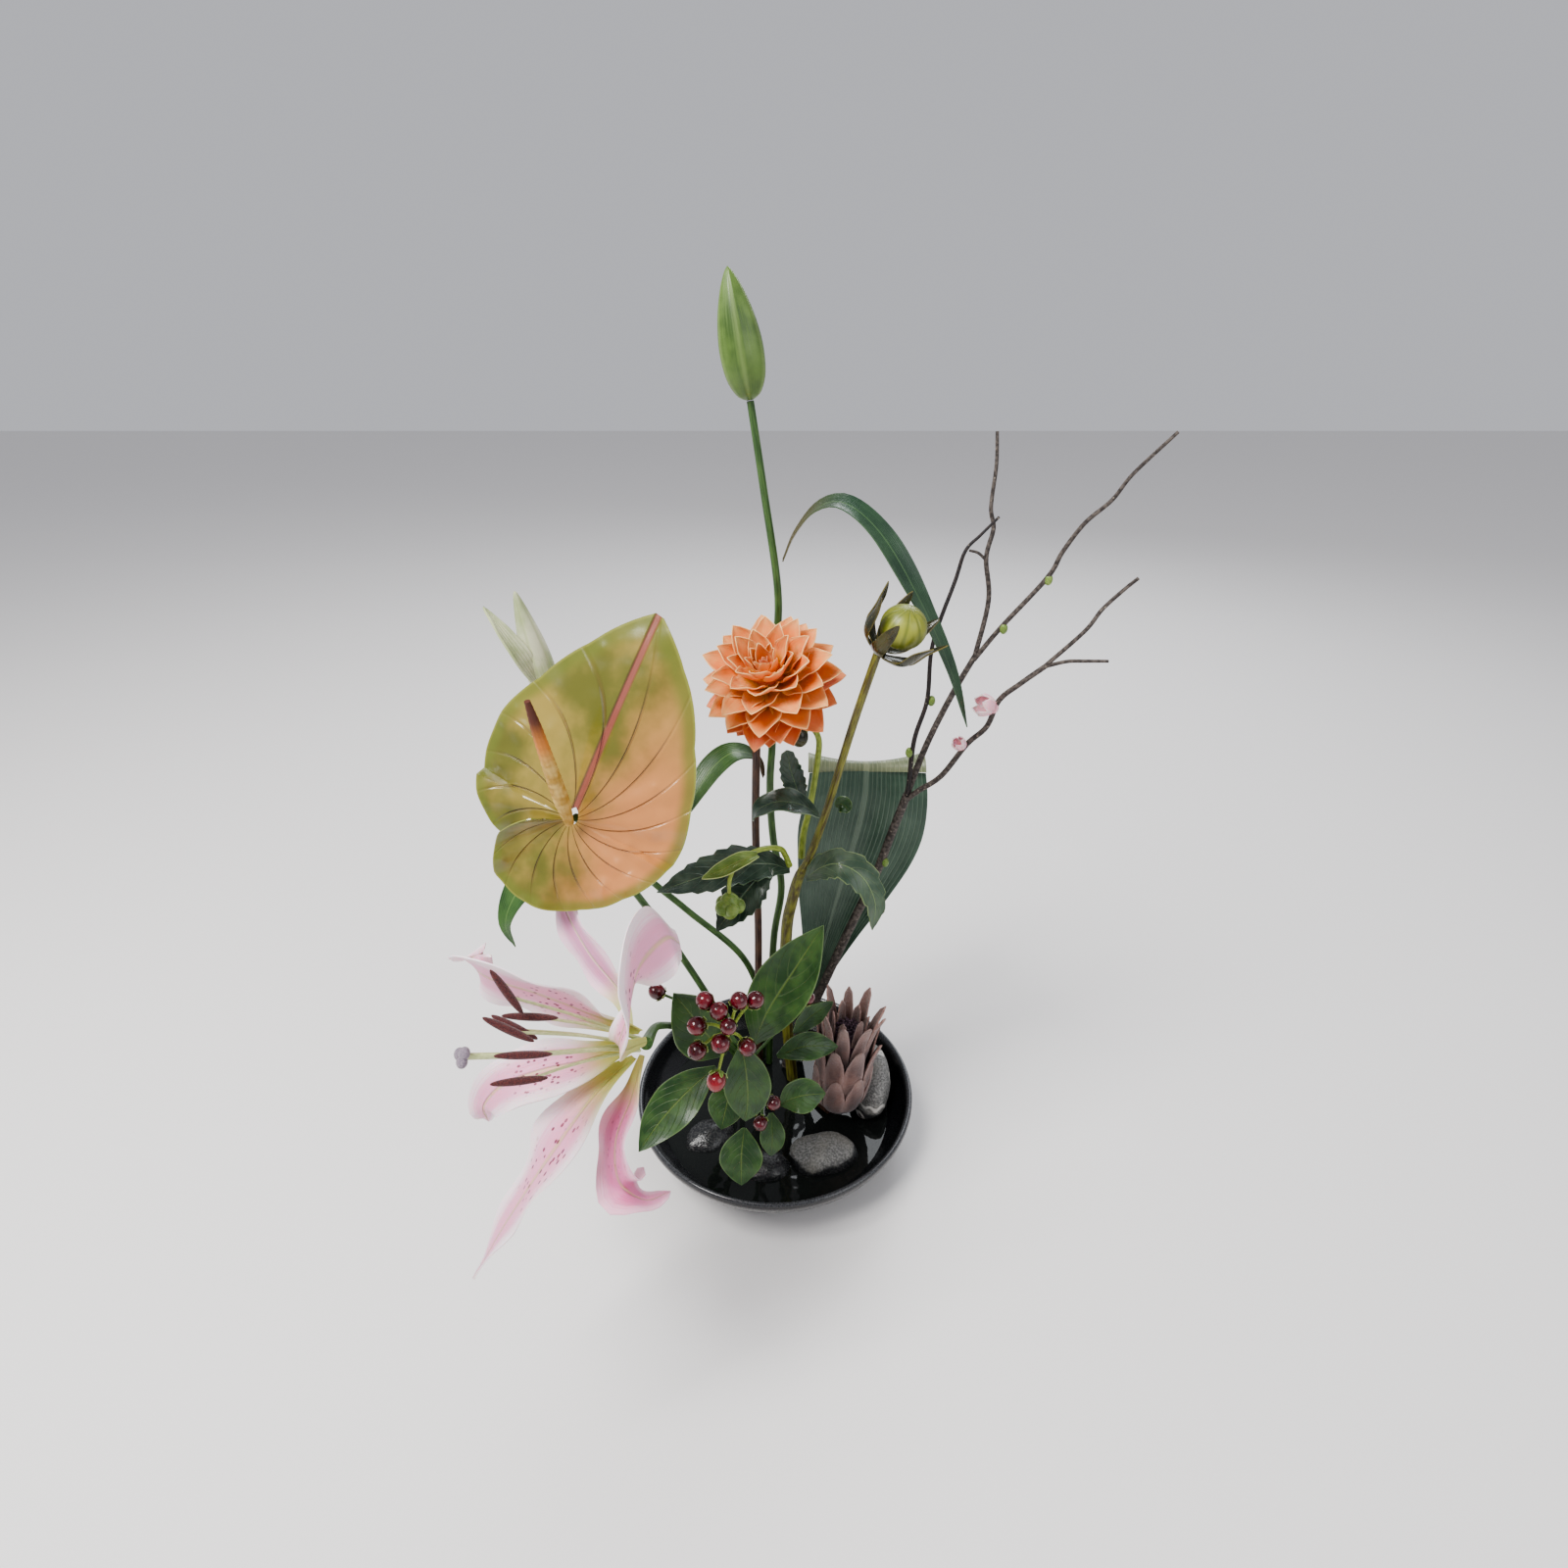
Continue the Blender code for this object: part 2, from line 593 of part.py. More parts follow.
def make_dahlia(arrangement):
    route = [(-14, 43, STEM_FOOT), (-14, 40, 100), (-13, 35, 170), (-13, 28, 225), (-13, 20, 280),
        (-11, 8, 346)]
    finish(tube("dahlia_stem", route, (3.1, 2.9, 2.8, 2.7)), "stem_brown", arrangement)
    make_bloom(arrangement)


def make_dahlia_bud(arrangement):
    route = [(14, 28, STEM_FOOT), (8, 29, 110), (9, 28, 178), (13, 25, 208), (18, 22, 232)]
    route += [(25, 18, 250), (36, 7, 296), (50, -11, 367), (61, -27, 419)]
    stem = tube("dahlia_bud_stem", route, (4.6, 4.5, 4.4, 4.2, 3.2, 2.7, 2.6, 2.5))
    finish(stem, "stem_olive", arrangement)

    centre = Vector((74, -34, 437))
    finish(ball("dahlia_bud", centre, 13.5, 3, (1, 1, 0.92), (0.2, -0.4, 1)), "dahlia_bud_green",
        arrangement)

    base = Vector((62.2, -28.6, 421.5))
    cup = ball("cup", base, 4.2, 2, (1, 1, 0.7), (0.5, -0.3, 0.8))
    sepals = []
    way = (centre - base).normalized()
    across = way.orthogonal().normalized()
    for k in range(7):
        out = Matrix.Rotation(math.radians(360 * k / 7 + 6 * math.sin(3 * k)), 3, way) @ across
        spine = []
        for forward, away in ((-0.3 * k, 1.6), (1.5, 10), (8, 18.5), (20, 21.5), (30, 25)):
            spine.append(tuple(base + way * forward + out * away))
        sepal = blade(f"sepal_{k}", spine, (1.5, 9, 9, 7, 1.4), (out * -1 + way * 0.4,), (0.4,), 5, 2)
        sepals.append(as_mesh(sepal))
    finish(join("dahlia_bud_sepals", cup, sepals), "leaf_dark", arrangement)


def make_dahlia_leaves(arrangement):
    left = [(11, 20, 239), (-4, 11, 250), (-26, 2, 254), (-52, -8, 251), (-80, -17, 245)]
    body = as_mesh(blade("left", left, (5, 26, 32, 24, 1.6), ((0, -0.6, 0.8),), (0.25,), 8, 4))
    lobe = [(-4, 9, 249), (-16, -2, 240), (-29, -13, 228), (-40, -21, 215)]
    second = as_mesh(blade("lobe", lobe, (10, 32, 28, 1.6), ((-0.3, -0.8, 0.5),), (0.2,), 6, 4))
    finish(join("dahlia_leaf_left", body, [second]), "leaf_dark", arrangement)

    spine = [(23, 16, 234), (33, 9, 248), (46, 3, 255), (62, -2, 247), (71, -6, 228), (70, -8, 206)]
    widths = (4, 20, 25, 24, 18, 1.6)
    leaf = blade("dahlia_leaf_right", spine, widths, ((-0.2, -0.8, 0.6), (0.5, -0.6, 0.6)), (0.4,), 10)
    finish(leaf, "leaf_dark", arrangement)

    spine = [(20, 6, 300), (15, 6, 315), (11, 6, 329), (9, 5, 342)]
    leaf = blade("dahlia_leaf_upper", spine, (4, 16, 17, 8), ((0, -1, 0.3),), (0.3,), 6)
    finish(leaf, "leaf_dark", arrangement)

    spine = [(30, -2, 297), (18, -7, 308), (2, -9, 311), (-10, -7, 304), (-14, -4, 294)]
    leaf = blade("dahlia_leaf_curled", spine, (5, 17, 20, 15, 3),
        ((0.2, -0.4, 1), (-0.6, -0.4, 0.8)), (0.5,), 8)
    finish(leaf, "leaf_dark", arrangement)

    spine = [(41.5, 2, 303), (46, -1, 305), (51, -3, 301)]
    leaf = blade("dahlia_leaf_small", spine, (3, 12, 4), ((0.2, -0.9, 0.3),), (0.5,), 4)
    finish(leaf, "leaf_hypericum", arrangement)


def make_dahlia_shoots(arrangement):
    shoot = as_mesh(tube("shoot", [(11, 15, 246), (8, 11, 257), (4, 4, 267), (-8, -6, 273),
        (-22, -16, 271), (-29, -23, 261), (-30, -24, 243)], (2.2, 2.0, 1.6, 1.2), 4))
    cluster = []
    centre = Vector((-30, -24, 236))
    for k in range(5):
        angle = math.radians(72 * k)
        spot = centre + Vector((6 * math.cos(angle), 5 * math.sin(angle), 3))
        cluster.append(ball(f"budlet_{k}", spot, 4.8, 1, (1, 1, 1.2)))
    cluster.append(ball("budlet_core", centre + Vector((0, 0, 3)), 7.0, 2, (1, 1, 1.5)))
    finish(join("dahlia_side_shoot", shoot, cluster), "leaf_pale", arrangement)

    spine = [(-11, -13, 273), (-21, -21, 274), (-34, -24, 268), (-48, -24, 261)]
    leaf = blade("dahlia_shoot_leaf", spine, (5, 12, 11, 1.4), ((0, -0.7, 0.7),), (0.9,), 7)
    finish(leaf, "leaf_pale", arrangement)

    stem = as_mesh(tube("second", [(19.5, 28, 245), (21, 24, 268), (25, 19, 292), (29, 14, 327),
        (30, 12, 346), (25, 10, 356), (20, 9, 354)], (2.6, 2.3, 2.0, 1.8)))
    bud = ball("second_bud", (17, 9, 350), 6.0, 2, (1, 1, 1.2))
    finish(join("dahlia_second_shoot", stem, [bud]), "stem_olive", arrangement)


# ---------------------------------------------------------------------------------------------
# Aspidistra leaf and flowering branch


def make_aspidistra(arrangement):
    spine = [(20, 48, STEM_FOOT), (28, 49, 85), (38, 51, 140), (50, 55, 195), (61, 58, 240),
        (67, 59, 275), (68, 64, 297)]
    widths = (7, 8, 22, 48, 78, 98, 88)
    leaf = blade("aspidistra_leaf", spine, widths, ((0.1, -1, 0.1),), (1.0, 0.7, 0.3), 14, 8)
    finish(leaf, "leaf_grey_green", arrangement)


def make_branch(arrangement):
    fork = (94, 32, 294)
    knee = (136, 46, 395)
    crook = (165, -14, 408)
    trunk = [(9, 41, STEM_FOOT + 1), (23, 40, 70), (37, 39, 110), (57, 38, 169), (75, 36, 222),
        (86, 34, 264), fork]
    body = as_mesh(tube("trunk", trunk, (4.0, 3.6, 3.2, 3.0), 2))
    twigs = [
        ([(88, 33.5, 272), fork, (95, 26, 339), (101, 23, 370), (101, 20, 409), (113, 28, 447),
            (118, 30, 465), (127, 33, 474), (138, 37, 484)], (1.9, 1.5, 1.2, 0.8)),
        ([(92, 32.5, 287), (105, 35, 331), (121, 41, 367), knee], (2.4, 2.1, 1.9)),
        ([(134, 45, 390), (140, 48, 429), (135, 46, 457), (138, 48, 475), (135, 48, 488),
            (136, 50, 512), (135, 53, 531)], (1.7, 1.4, 1.0)),
        ([(134, 45, 390), (148, 41, 413), (171, 32, 448), (177, 28, 465), (186, 23, 483),
            (198, 18, 497), (206, 14, 512), (223, 5, 535)], (1.7, 1.4, 1.0)),
        ([(91, 33, 287), (101, 29, 299), (115, 23, 314), (128, 14, 342), (138, 7, 358),
            (142, 0, 379), (152, -7, 393), crook], (2.0, 1.8, 1.6)),
        ([(163, -13, 406), (181, -20, 430), (188, -23, 444), (197, -26, 456), (203, -28, 463)], (1.3, 1.0)),
        ([(163, -13, 406), (174, -18, 411), (184, -20, 412), (197, -23, 413)], (1.2, 0.9)),
        ([(135, 46, 456), (129, 43, 461), (123, 41, 463)], (1.0, 0.8)),
    ]
    pieces = []
    for number, (route, radii) in enumerate(twigs):
        pieces.append(as_mesh(tube(f"twig_{number}", route, radii, 2)))
    for number, spot in enumerate(((172, 32, 447), (150, 40, 413), (92.5, 27, 330), (104, 24, 369),
        (82, 33, 237))):
        pieces.append(ball(f"twig_bud_{number}", spot, 2.6, 1, (1, 1, 1.4)))
    finish(join("branch", body, pieces), "bark_brown", arrangement)


def make_blossom(name, centre, way, radius, arrangement):
    """A small five-petalled blossom, half open."""
    way = Vector(way).normalized()
    across = way.orthogonal().normalized()
    petals = []
    for k in range(5):
        out = Matrix.Rotation(math.radians(72 * k + 5 * math.sin(3 * k)), 3, way) @ across
        spine = []
        sink = 0.05 * k
        for forward, away in ((-sink, 0.2), (0.35 - sink, 0.7), (1.1, 1.0), (1.7, 0.8)):
            spine.append(tuple(Vector(centre) + (way * forward + out * away) * radius))
        petal = blade(f"{name}_petal_{k}", spine, (1.2, radius, radius * 1.2, 1.6),
            (way * 0.4 - out,), (0.6,), 3, 2)
        petals.append(as_mesh(petal))
    heart = ball(name + "_heart", centre, radius * 0.45, 1)
    finish(join(name, heart, petals), "blossom_pink", arrangement)


def make_blossoms(arrangement):
    make_blossom("blossom_upper", (137, -8, 377), (-1, -0.2, 0.4), 7.0, arrangement)
    make_blossom("blossom_lower", (124, 8, 343), (-0.7, -0.3, 0.8), 4.5, arrangement)


# ---------------------------------------------------------------------------------------------
# Hypericum and protea


def make_hypericum(arrangement):
    node = (-20, -58, 140)
    crown = (-28, -90, 188)
    stem = as_mesh(tube("sprig", [(-14, 6, STEM_FOOT), (-14, -14, 70), (-17, -38, 112), node,
        (-25, -78, 168), crown], (2.2, 2.0, 1.7, 1.3)))
    berries = [
        (-42, -93, 217, 5.7), (-33, -100, 215, 5.7), (-21, -93, 217, 5.6), (-11, -88, 213,
            5.6), (-47, -101, 204, 5.9),
        (-27, -106, 208, 5.2), (-47, -106, 188, 5.7), (-32, -109, 197, 6.0), (-16, -102, 187,
            5.5), (-36, -106, 162, 6.2),
    ]
    pieces = []
    for number, (x, y, z, radius) in enumerate(berries):
        middle = (Vector(crown) + Vector((x, y, z))) / 2 + Vector((0, 4, 0))
        pieces.append(as_mesh(tube(f"pedicel_{number}", [crown, tuple(middle), (x, y, z)], (1.1, 0.9), 2)))
        pieces.append(ball(f"berry_{number}", (x, y, z), radius, 2, (1, 1, 1.08)))
    strays = [
        ([(-17, -38, 112), (4, -38, 142), (24, -37, 169)], 4.6),
        ([(-18, -46, 122), (-48, -44, 160), (-79, -54, 190)], 5.4),
        ([(-19, -50, 128), (-8, -78, 118), (0, -92, 127)], 4.8),
        ([(-8, -76, 118), (-8, -88, 112), (-9, -97, 113)], 4.8),
    ]
    for number, (route, radius) in enumerate(strays):
        pieces.append(as_mesh(tube(f"side_stalk_{number}", route, (1.2, 0.9), 3)))
        pieces.append(ball(f"side_berry_{number}", route[-1], radius, 2, (1, 1, 1.08)))
    finish(join("hypericum_sprig", stem, pieces), "berry_burgundy", arrangement)


def make_hypericum_leaves(arrangement):
    """Leaves of the sprig: route from base to tip, widest width, and the way each one faces."""
    leaves = [
        ([(-33, -72, 150), (-42, -77, 170), (-53, -77, 190), (-64, -76, 208)], 40, (0.3, -0.9, 0.4)),
        ([(-14, -60, 148), (-4, -60, 178), (14, -53, 208), (33, -47, 240)], 40, (-0.3, -0.9, 0.3)),
        ([(-40, -67, 134), (-58, -76, 122), (-77, -88, 106), (-92, -101, 90)], 32, (-0.2, -0.8, 0.6)),
        ([(-21, -84, 172), (-18, -90, 155), (-17, -95, 135), (-19, -97, 115)], 32, (0.1, -1, 0.3)),
        ([(-28, -72, 128), (-32, -82, 116), (-36, -91, 100)], 26, (0, -0.9, 0.5)),
        ([(4, -80, 112), (18, -80, 120), (36, -74, 116)], 24, (0, -0.8, 0.6)),
        ([(-2, -82, 106), (-1, -90, 92), (-2, -93, 76)], 18, (0.1, -1, 0.3)),
        ([(-20, -92, 103), (-22, -102, 88), (-22, -111, 69)], 30, (0, -0.9, 0.5)),
        ([(2, -54, 131), (22, -50, 136), (46, -43, 129)], 20, (0, -0.7, 0.7)),
        ([(14, -44, 143), (26, -38, 153), (42, -33, 162)], 16, (0.2, -0.9, 0.4)),
    ]
    for number, (spine, width, facing) in enumerate(leaves, start=1):
        widths = (2.5, width * 0.75, width, width * 0.72, 1.6)
        leaf = blade(f"hypericum_leaf_{number}", spine, widths, (facing,), (0.35,), 8)
        finish(leaf, "leaf_hypericum", arrangement)


def make_protea(arrangement):
    base = Vector((49, -10, 30))
    way = Vector((0.10, 0.06, 1.0)).normalized()
    finish(tube("protea_stem", [(24, 14, STEM_FOOT), (35, 3, 24), (44, -8, 26)], (4.2, 4.4, 4.4)),
        "stem_brown", arrangement)

    profile = [(0.0, 78), (8, 77), (14, 70), (17, 52), (19, 32), (17, 14), (10, 3), (0.0, 0.4)]
    body = as_mesh(turned("protea_core", profile, base, way, 16))
    across = way.orthogonal().normalized()
    rings = [
        (7, ((3, 8), (14, 19), (32, 23), (48, 23)), 15, 0),
        (8, ((14, 15), (36, 21), (60, 23), (78, 27)), 14, 20),
        (9, ((26, 16), (56, 16.5), (84, 21), (102, 27)), 10, 8),
        (6, ((34, 14), (60, 13), (80, 13), (96, 14)), 8, 15),
    ]
    bracts = []
    for ring, (count, side_view, width, start) in enumerate(rings):
        for k in range(count):
            turn = start + 360 * k / count + 3 * math.sin(2.1 * k + ring)
            out = Matrix.Rotation(math.radians(turn), 3, way) @ across
            grow = 1 + 0.03 * math.sin(2.7 * k + 1.3 * ring)
            spine = [tuple(base + way * height * grow + out * away) for height, away in side_view]
            bract = blade(f"bract_{ring}_{k}", spine, (width * 0.7, width, width * 0.8, 1.8),
                (out * -1,), (0.7,), 4, 2, 1.3)
            bracts.append(as_mesh(bract))
    finish(join("protea_head", body, bracts), "protea_mauve", arrangement)


def main():
    clear_scene()
    arrangement = new_collection("arrangement")
    make_bowl(arrangement)
    make_kenzan(arrangement)
    make_stones(arrangement)
    make_tall_lily(arrangement)
    make_side_lily(arrangement)
    make_lily_stem(arrangement)
    make_tepals(arrangement)
    make_stamens(arrangement)
    make_pistil(arrangement)
    make_anthurium(arrangement)
    make_dahlia(arrangement)
    make_dahlia_bud(arrangement)
    make_dahlia_leaves(arrangement)
    make_dahlia_shoots(arrangement)
    make_aspidistra(arrangement)
    make_branch(arrangement)
    make_blossoms(arrangement)
    make_hypericum(arrangement)
    make_hypericum_leaves(arrangement)
    make_protea(arrangement)


main()
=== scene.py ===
"""Looks of an ikebana arrangement standing in a wide black bowl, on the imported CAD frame.

Routes are lists of points in millimetres from the centre of the bowl's foot, as in the CAD:
X to the right, Y to the back, Z up.  Every piece stands for the CAD node that it is named after.
"""

import math

import bmesh
import bpy
from mathutils import Matrix, Vector, noise


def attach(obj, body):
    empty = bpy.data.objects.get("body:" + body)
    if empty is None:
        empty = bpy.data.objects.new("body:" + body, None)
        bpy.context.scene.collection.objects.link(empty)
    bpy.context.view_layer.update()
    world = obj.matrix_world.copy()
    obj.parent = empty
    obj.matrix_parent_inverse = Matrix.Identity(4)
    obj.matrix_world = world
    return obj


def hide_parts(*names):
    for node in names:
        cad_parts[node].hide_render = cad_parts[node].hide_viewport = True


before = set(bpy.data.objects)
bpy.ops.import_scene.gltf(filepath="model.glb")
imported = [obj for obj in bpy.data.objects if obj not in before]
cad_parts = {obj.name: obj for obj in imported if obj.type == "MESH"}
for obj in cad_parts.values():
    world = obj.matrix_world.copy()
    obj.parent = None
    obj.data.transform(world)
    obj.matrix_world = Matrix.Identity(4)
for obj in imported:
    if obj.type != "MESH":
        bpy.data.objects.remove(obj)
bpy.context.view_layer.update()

MM = 0.001

BOWL_RADIUS = 110.0
BOWL_HEIGHT = 46.0
BOWL_FLOOR = 8.5
FOOT_RADIUS = 50.0
WATER_HEIGHT = 21.5
WATER_RADIUS = 91.4
STEM_FOOT = 22.5
LEAF_THICKNESS = 0.7
PETAL_THICKNESS = 0.7
FLORET_THICKNESS = 0.5
GOLDEN_ANGLE = 137.5
PROTEA_STYLES = 70
FLOOR_REACH = 6.0
SENSOR_WIDTH = 36.0

LILY_THROAT = Vector((-72.0, -156.0, 243.0))
LILY_AXIS = Vector((-0.66, -0.57, 0.48)).normalized()
BLOOM_CENTRE = Vector((-2.0, -14.0, 402.0))
BLOOM_RADIUS = 45.0
BLOOM_AXIS = Vector((-0.22, -0.50, 0.84)).normalized()
SPATHE_NOTCH = Vector((-111.0, -88.0, 344.0))
SPATHE_TIP_WAY = Vector((52.0, 33.0, 110.0)).normalized()
SPATHE_FACING = Vector((-0.16, -0.86, 0.33))

CAMERA_PLACE = (0.0070, -0.4966, 0.5803)
CAMERA_TILT = math.radians(62.32)
CAMERA_LENS = 19.5


# ---------------------------------------------------------------------------------------------
# Materials


class Look:
    """A material being built.  Each method adds a node and returns the socket with its result."""

    def __init__(self, name):
        self.material = bpy.data.materials.new(name)
        self.material.use_nodes = True
        self.tree = self.material.node_tree
        self.shader = self.tree.nodes["Principled BSDF"]

    def feed(self, socket, value):
        if isinstance(value, bpy.types.NodeSocket):
            self.tree.links.new(value, socket)
        elif isinstance(value, tuple) and socket.type == "RGBA":
            socket.default_value = (*value, 1.0)
        else:
            socket.default_value = value

    def add(self, kind, values, **settings):
        node = self.tree.nodes.new(kind)
        for key, value in settings.items():
            setattr(node, key, value)
        for key, value in values.items():
            self.feed(node.inputs[key], value)
        return node

    def uv(self, layer="leaf"):
        return self.add("ShaderNodeUVMap", {}, uv_map=layer).outputs[0]

    def place(self):
        return self.add("ShaderNodeTexCoord", {}).outputs["Object"]

    def parts(self, vector):
        return self.add("ShaderNodeSeparateXYZ", {0: vector}).outputs

    def math(self, operation, a, b=0.0):
        return self.add("ShaderNodeMath", {0: a, 1: b}, operation=operation).outputs[0]

    def times(self, a, b):
        return self.math("MULTIPLY", a, b)

    def plus(self, a, b):
        return self.math("ADD", a, b)

    def minus(self, a, b):
        return self.math("SUBTRACT", a, b)

    def from_half(self, value):
        """How far a value is from a half."""
        return self.math("ABSOLUTE", self.minus(value, 0.5))

    def from_rib(self, u):
        """Distance from the middle line, 0 to 1 at either edge."""
        return self.math("ABSOLUTE", self.minus(self.times(u, 2.0), 1.0))

    def stretch(self, vector, scale):
        return self.add("ShaderNodeVectorMath", {0: vector, 1: scale}, operation="MULTIPLY").outputs[0]

    def ease(self, value, low, high, start=0.0, end=1.0):
        """start below low, end above high, and a smooth way between."""
        values = {0: value, 1: low, 2: high, 3: start, 4: end}
        return self.add("ShaderNodeMapRange", values, interpolation_type="SMOOTHSTEP").outputs[0]

    def fade(self, value, low, high):
        """1 below low and 0 above high."""
        return self.ease(value, low, high, 1.0, 0.0)

    def noise(self, scale, vector=None, detail=3.0):
        values = {"Vector": vector or self.place(), "Scale": scale, "Detail": detail}
        return self.add("ShaderNodeTexNoise", values).outputs[0]

    def streaks(self, across, along, detail=3.0):
        """Noise drawn out along a blade or stem."""
        return self.noise(1.0, self.stretch(self.uv(), (across, along, 1.0)), detail)

    def cells(self, scale, vector=None, feature="F1"):
        values = {"Vector": vector or self.place(), "Scale": scale}
        return self.add("ShaderNodeTexVoronoi", values, feature=feature).outputs["Distance"]

    def blend(self, share, a, b):
        return self.add("ShaderNodeMix", {0: share, 6: a, 7: b}, data_type="RGBA").outputs[2]

    def bump(self, height, depth, strength=1.0):
        """Relief from a height of 0 to 1, depth in millimetres."""
        values = {"Height": height, "Distance": depth * MM, "Strength": strength}
        self.feed(self.shader.inputs["Normal"], self.add("ShaderNodeBump", values).outputs[0])

    def finish(self, colour, roughness, **constants):
        self.feed(self.shader.inputs["Base Color"], colour)
        self.feed(self.shader.inputs["Roughness"], roughness)
        for key, value in constants.items():
            self.feed(self.shader.inputs[key.replace("_", " ")], value)
        return self.material


def blade_look(name):
    """A new look, the shares u across and v along a blade, and the distance s from its rib."""
    look = Look(name)
    u, v, _ = look.parts(look.uv())
    return look, u, v, look.from_rib(u)


def leaf_look(name, dark, light, rib, rim, veins=9.0, lean=2.6, roughness=0.36):
    """A broad leaf: a midrib, arching side veins, a fine grain and a thin rim."""
    look, u, v, s = blade_look(name)
    lag = look.times(look.math("POWER", s, 1.4), lean)
    wave = look.math("FRACT", look.minus(look.times(v, veins), lag))
    ridge = look.from_half(wave)
    vein = look.times(look.ease(ridge, 0.42, 0.5), look.fade(s, 0.7, 0.98))
    midrib = look.fade(s, 0.012, 0.055)
    blotch = look.noise(90.0)
    grain = look.noise(1400.0, detail=2.0)
    green = look.blend(look.ease(blotch, 0.35, 0.68), dark, light)
    green = look.blend(look.times(vein, 0.28), green, rib)
    green = look.blend(look.times(midrib, 0.8), green, rib)
    green = look.blend(look.ease(s, 0.93, 0.99), green, rim)
    relief = look.minus(look.times(grain, 0.25), look.times(vein, 0.6))
    relief = look.minus(relief, midrib)
    look.bump(relief, 0.5, 0.8)
    shine = look.ease(blotch, 0.3, 0.7, roughness - 0.06, roughness + 0.1)
    return look.finish(green, shine, Subsurface_Weight=0.06, Subsurface_Scale=0.002, Coat_Weight=0.12)


def strap_look(name, dark, light, stripe, stripes=15.0, roughness=0.33, line=0.4, base=None):
    """A long leaf whose veins all run from base to tip."""
    look, u, v, s = blade_look(name)
    wave = look.from_half(look.math("FRACT", look.times(u, stripes)))
    vein = look.ease(wave, 0.3, 0.5)
    streak = look.streaks(60.0, 5.0)
    blotch = look.noise(45.0)
    green = look.blend(look.ease(blotch, 0.35, 0.65), dark, light)
    green = look.blend(look.times(look.ease(streak, 0.45, 0.75), 0.6), green, light)
    green = look.blend(look.times(vein, line), green, stripe)
    green = look.blend(look.ease(s, 0.02, 0.07, 0.6, 0.0), green, stripe)
    if base:
        green = look.blend(look.ease(v, 0.08, 0.3, 0.85, 0.0), green, base)
    relief = look.minus(look.times(streak, 0.3), look.times(vein, 0.6))
    look.bump(relief, 0.4, 0.8)
    shine = look.ease(streak, 0.3, 0.7, roughness - 0.05, roughness + 0.12)
    return look.finish(green, shine, Coat_Weight=0.15, Coat_Roughness=0.3)


def tepal_look(name, middle, margin, throat, flecks):
    """A lily tepal: pink down its middle, paler to its edge, green-yellow and flecked at its base."""
    look, u, v, s = blade_look(name)
    streak = look.streaks(34.0, 3.0)
    edge = look.plus(s, look.times(look.minus(streak, 0.5), 0.5))
    pink = look.blend(look.ease(edge, 0.35, 0.95), middle, margin)
    pink = look.blend(look.ease(v, 0.80, 1.0, 0.0, 0.45), pink, margin)
    furrow = look.fade(s, 0.02, 0.10)
    pink = look.blend(look.times(furrow, 0.5), pink, throat)
    pink = look.blend(look.fade(v, 0.10, 0.34), pink, throat)
    spots = look.cells(1.0, look.stretch(look.uv(), (13.0, 30.0, 1.0)))
    zone = look.times(look.ease(v, 0.22, 0.34), look.fade(v, 0.52, 0.72))
    zone = look.times(zone, look.fade(s, 0.5, 0.8))
    fleck = look.times(look.ease(spots, 0.20, 0.30, flecks, 0.0), zone)
    pink = look.blend(fleck, pink, (0.16, 0.008, 0.045))
    relief = look.minus(look.times(streak, 0.5), furrow)
    relief = look.plus(relief, look.times(fleck, 0.8))
    look.bump(relief, 0.8, 0.9)
    return look.finish(pink, 0.46, Subsurface_Weight=0.22, Subsurface_Scale=0.003, Sheen_Weight=0.1)


def floret_look(name, body, edge, base):
    """A floret or petal: one colour at its base, another along its edges, fine lines along it."""
    look, u, v, s = blade_look(name)
    streak = look.streaks(22.0, 2.5)
    tone = look.noise(55.0)
    colour = look.blend(look.ease(tone, 0.35, 0.7, 0.0, 0.5), body, edge)
    colour = look.blend(look.ease(s, 0.62, 1.0, 0.0, 0.75), colour, edge)
    colour = look.blend(look.ease(v, 0.72, 1.0, 0.0, 0.5), colour, edge)
    colour = look.blend(look.ease(v, 0.12, 0.5, 0.9, 0.0), colour, base)
    colour = look.blend(look.ease(streak, 0.5, 0.8, 0.0, 0.25), colour, body)
    look.bump(streak, 0.6, 0.8)
    return look.finish(colour, 0.5, Subsurface_Weight=0.2, Subsurface_Scale=0.002, Sheen_Weight=0.12)


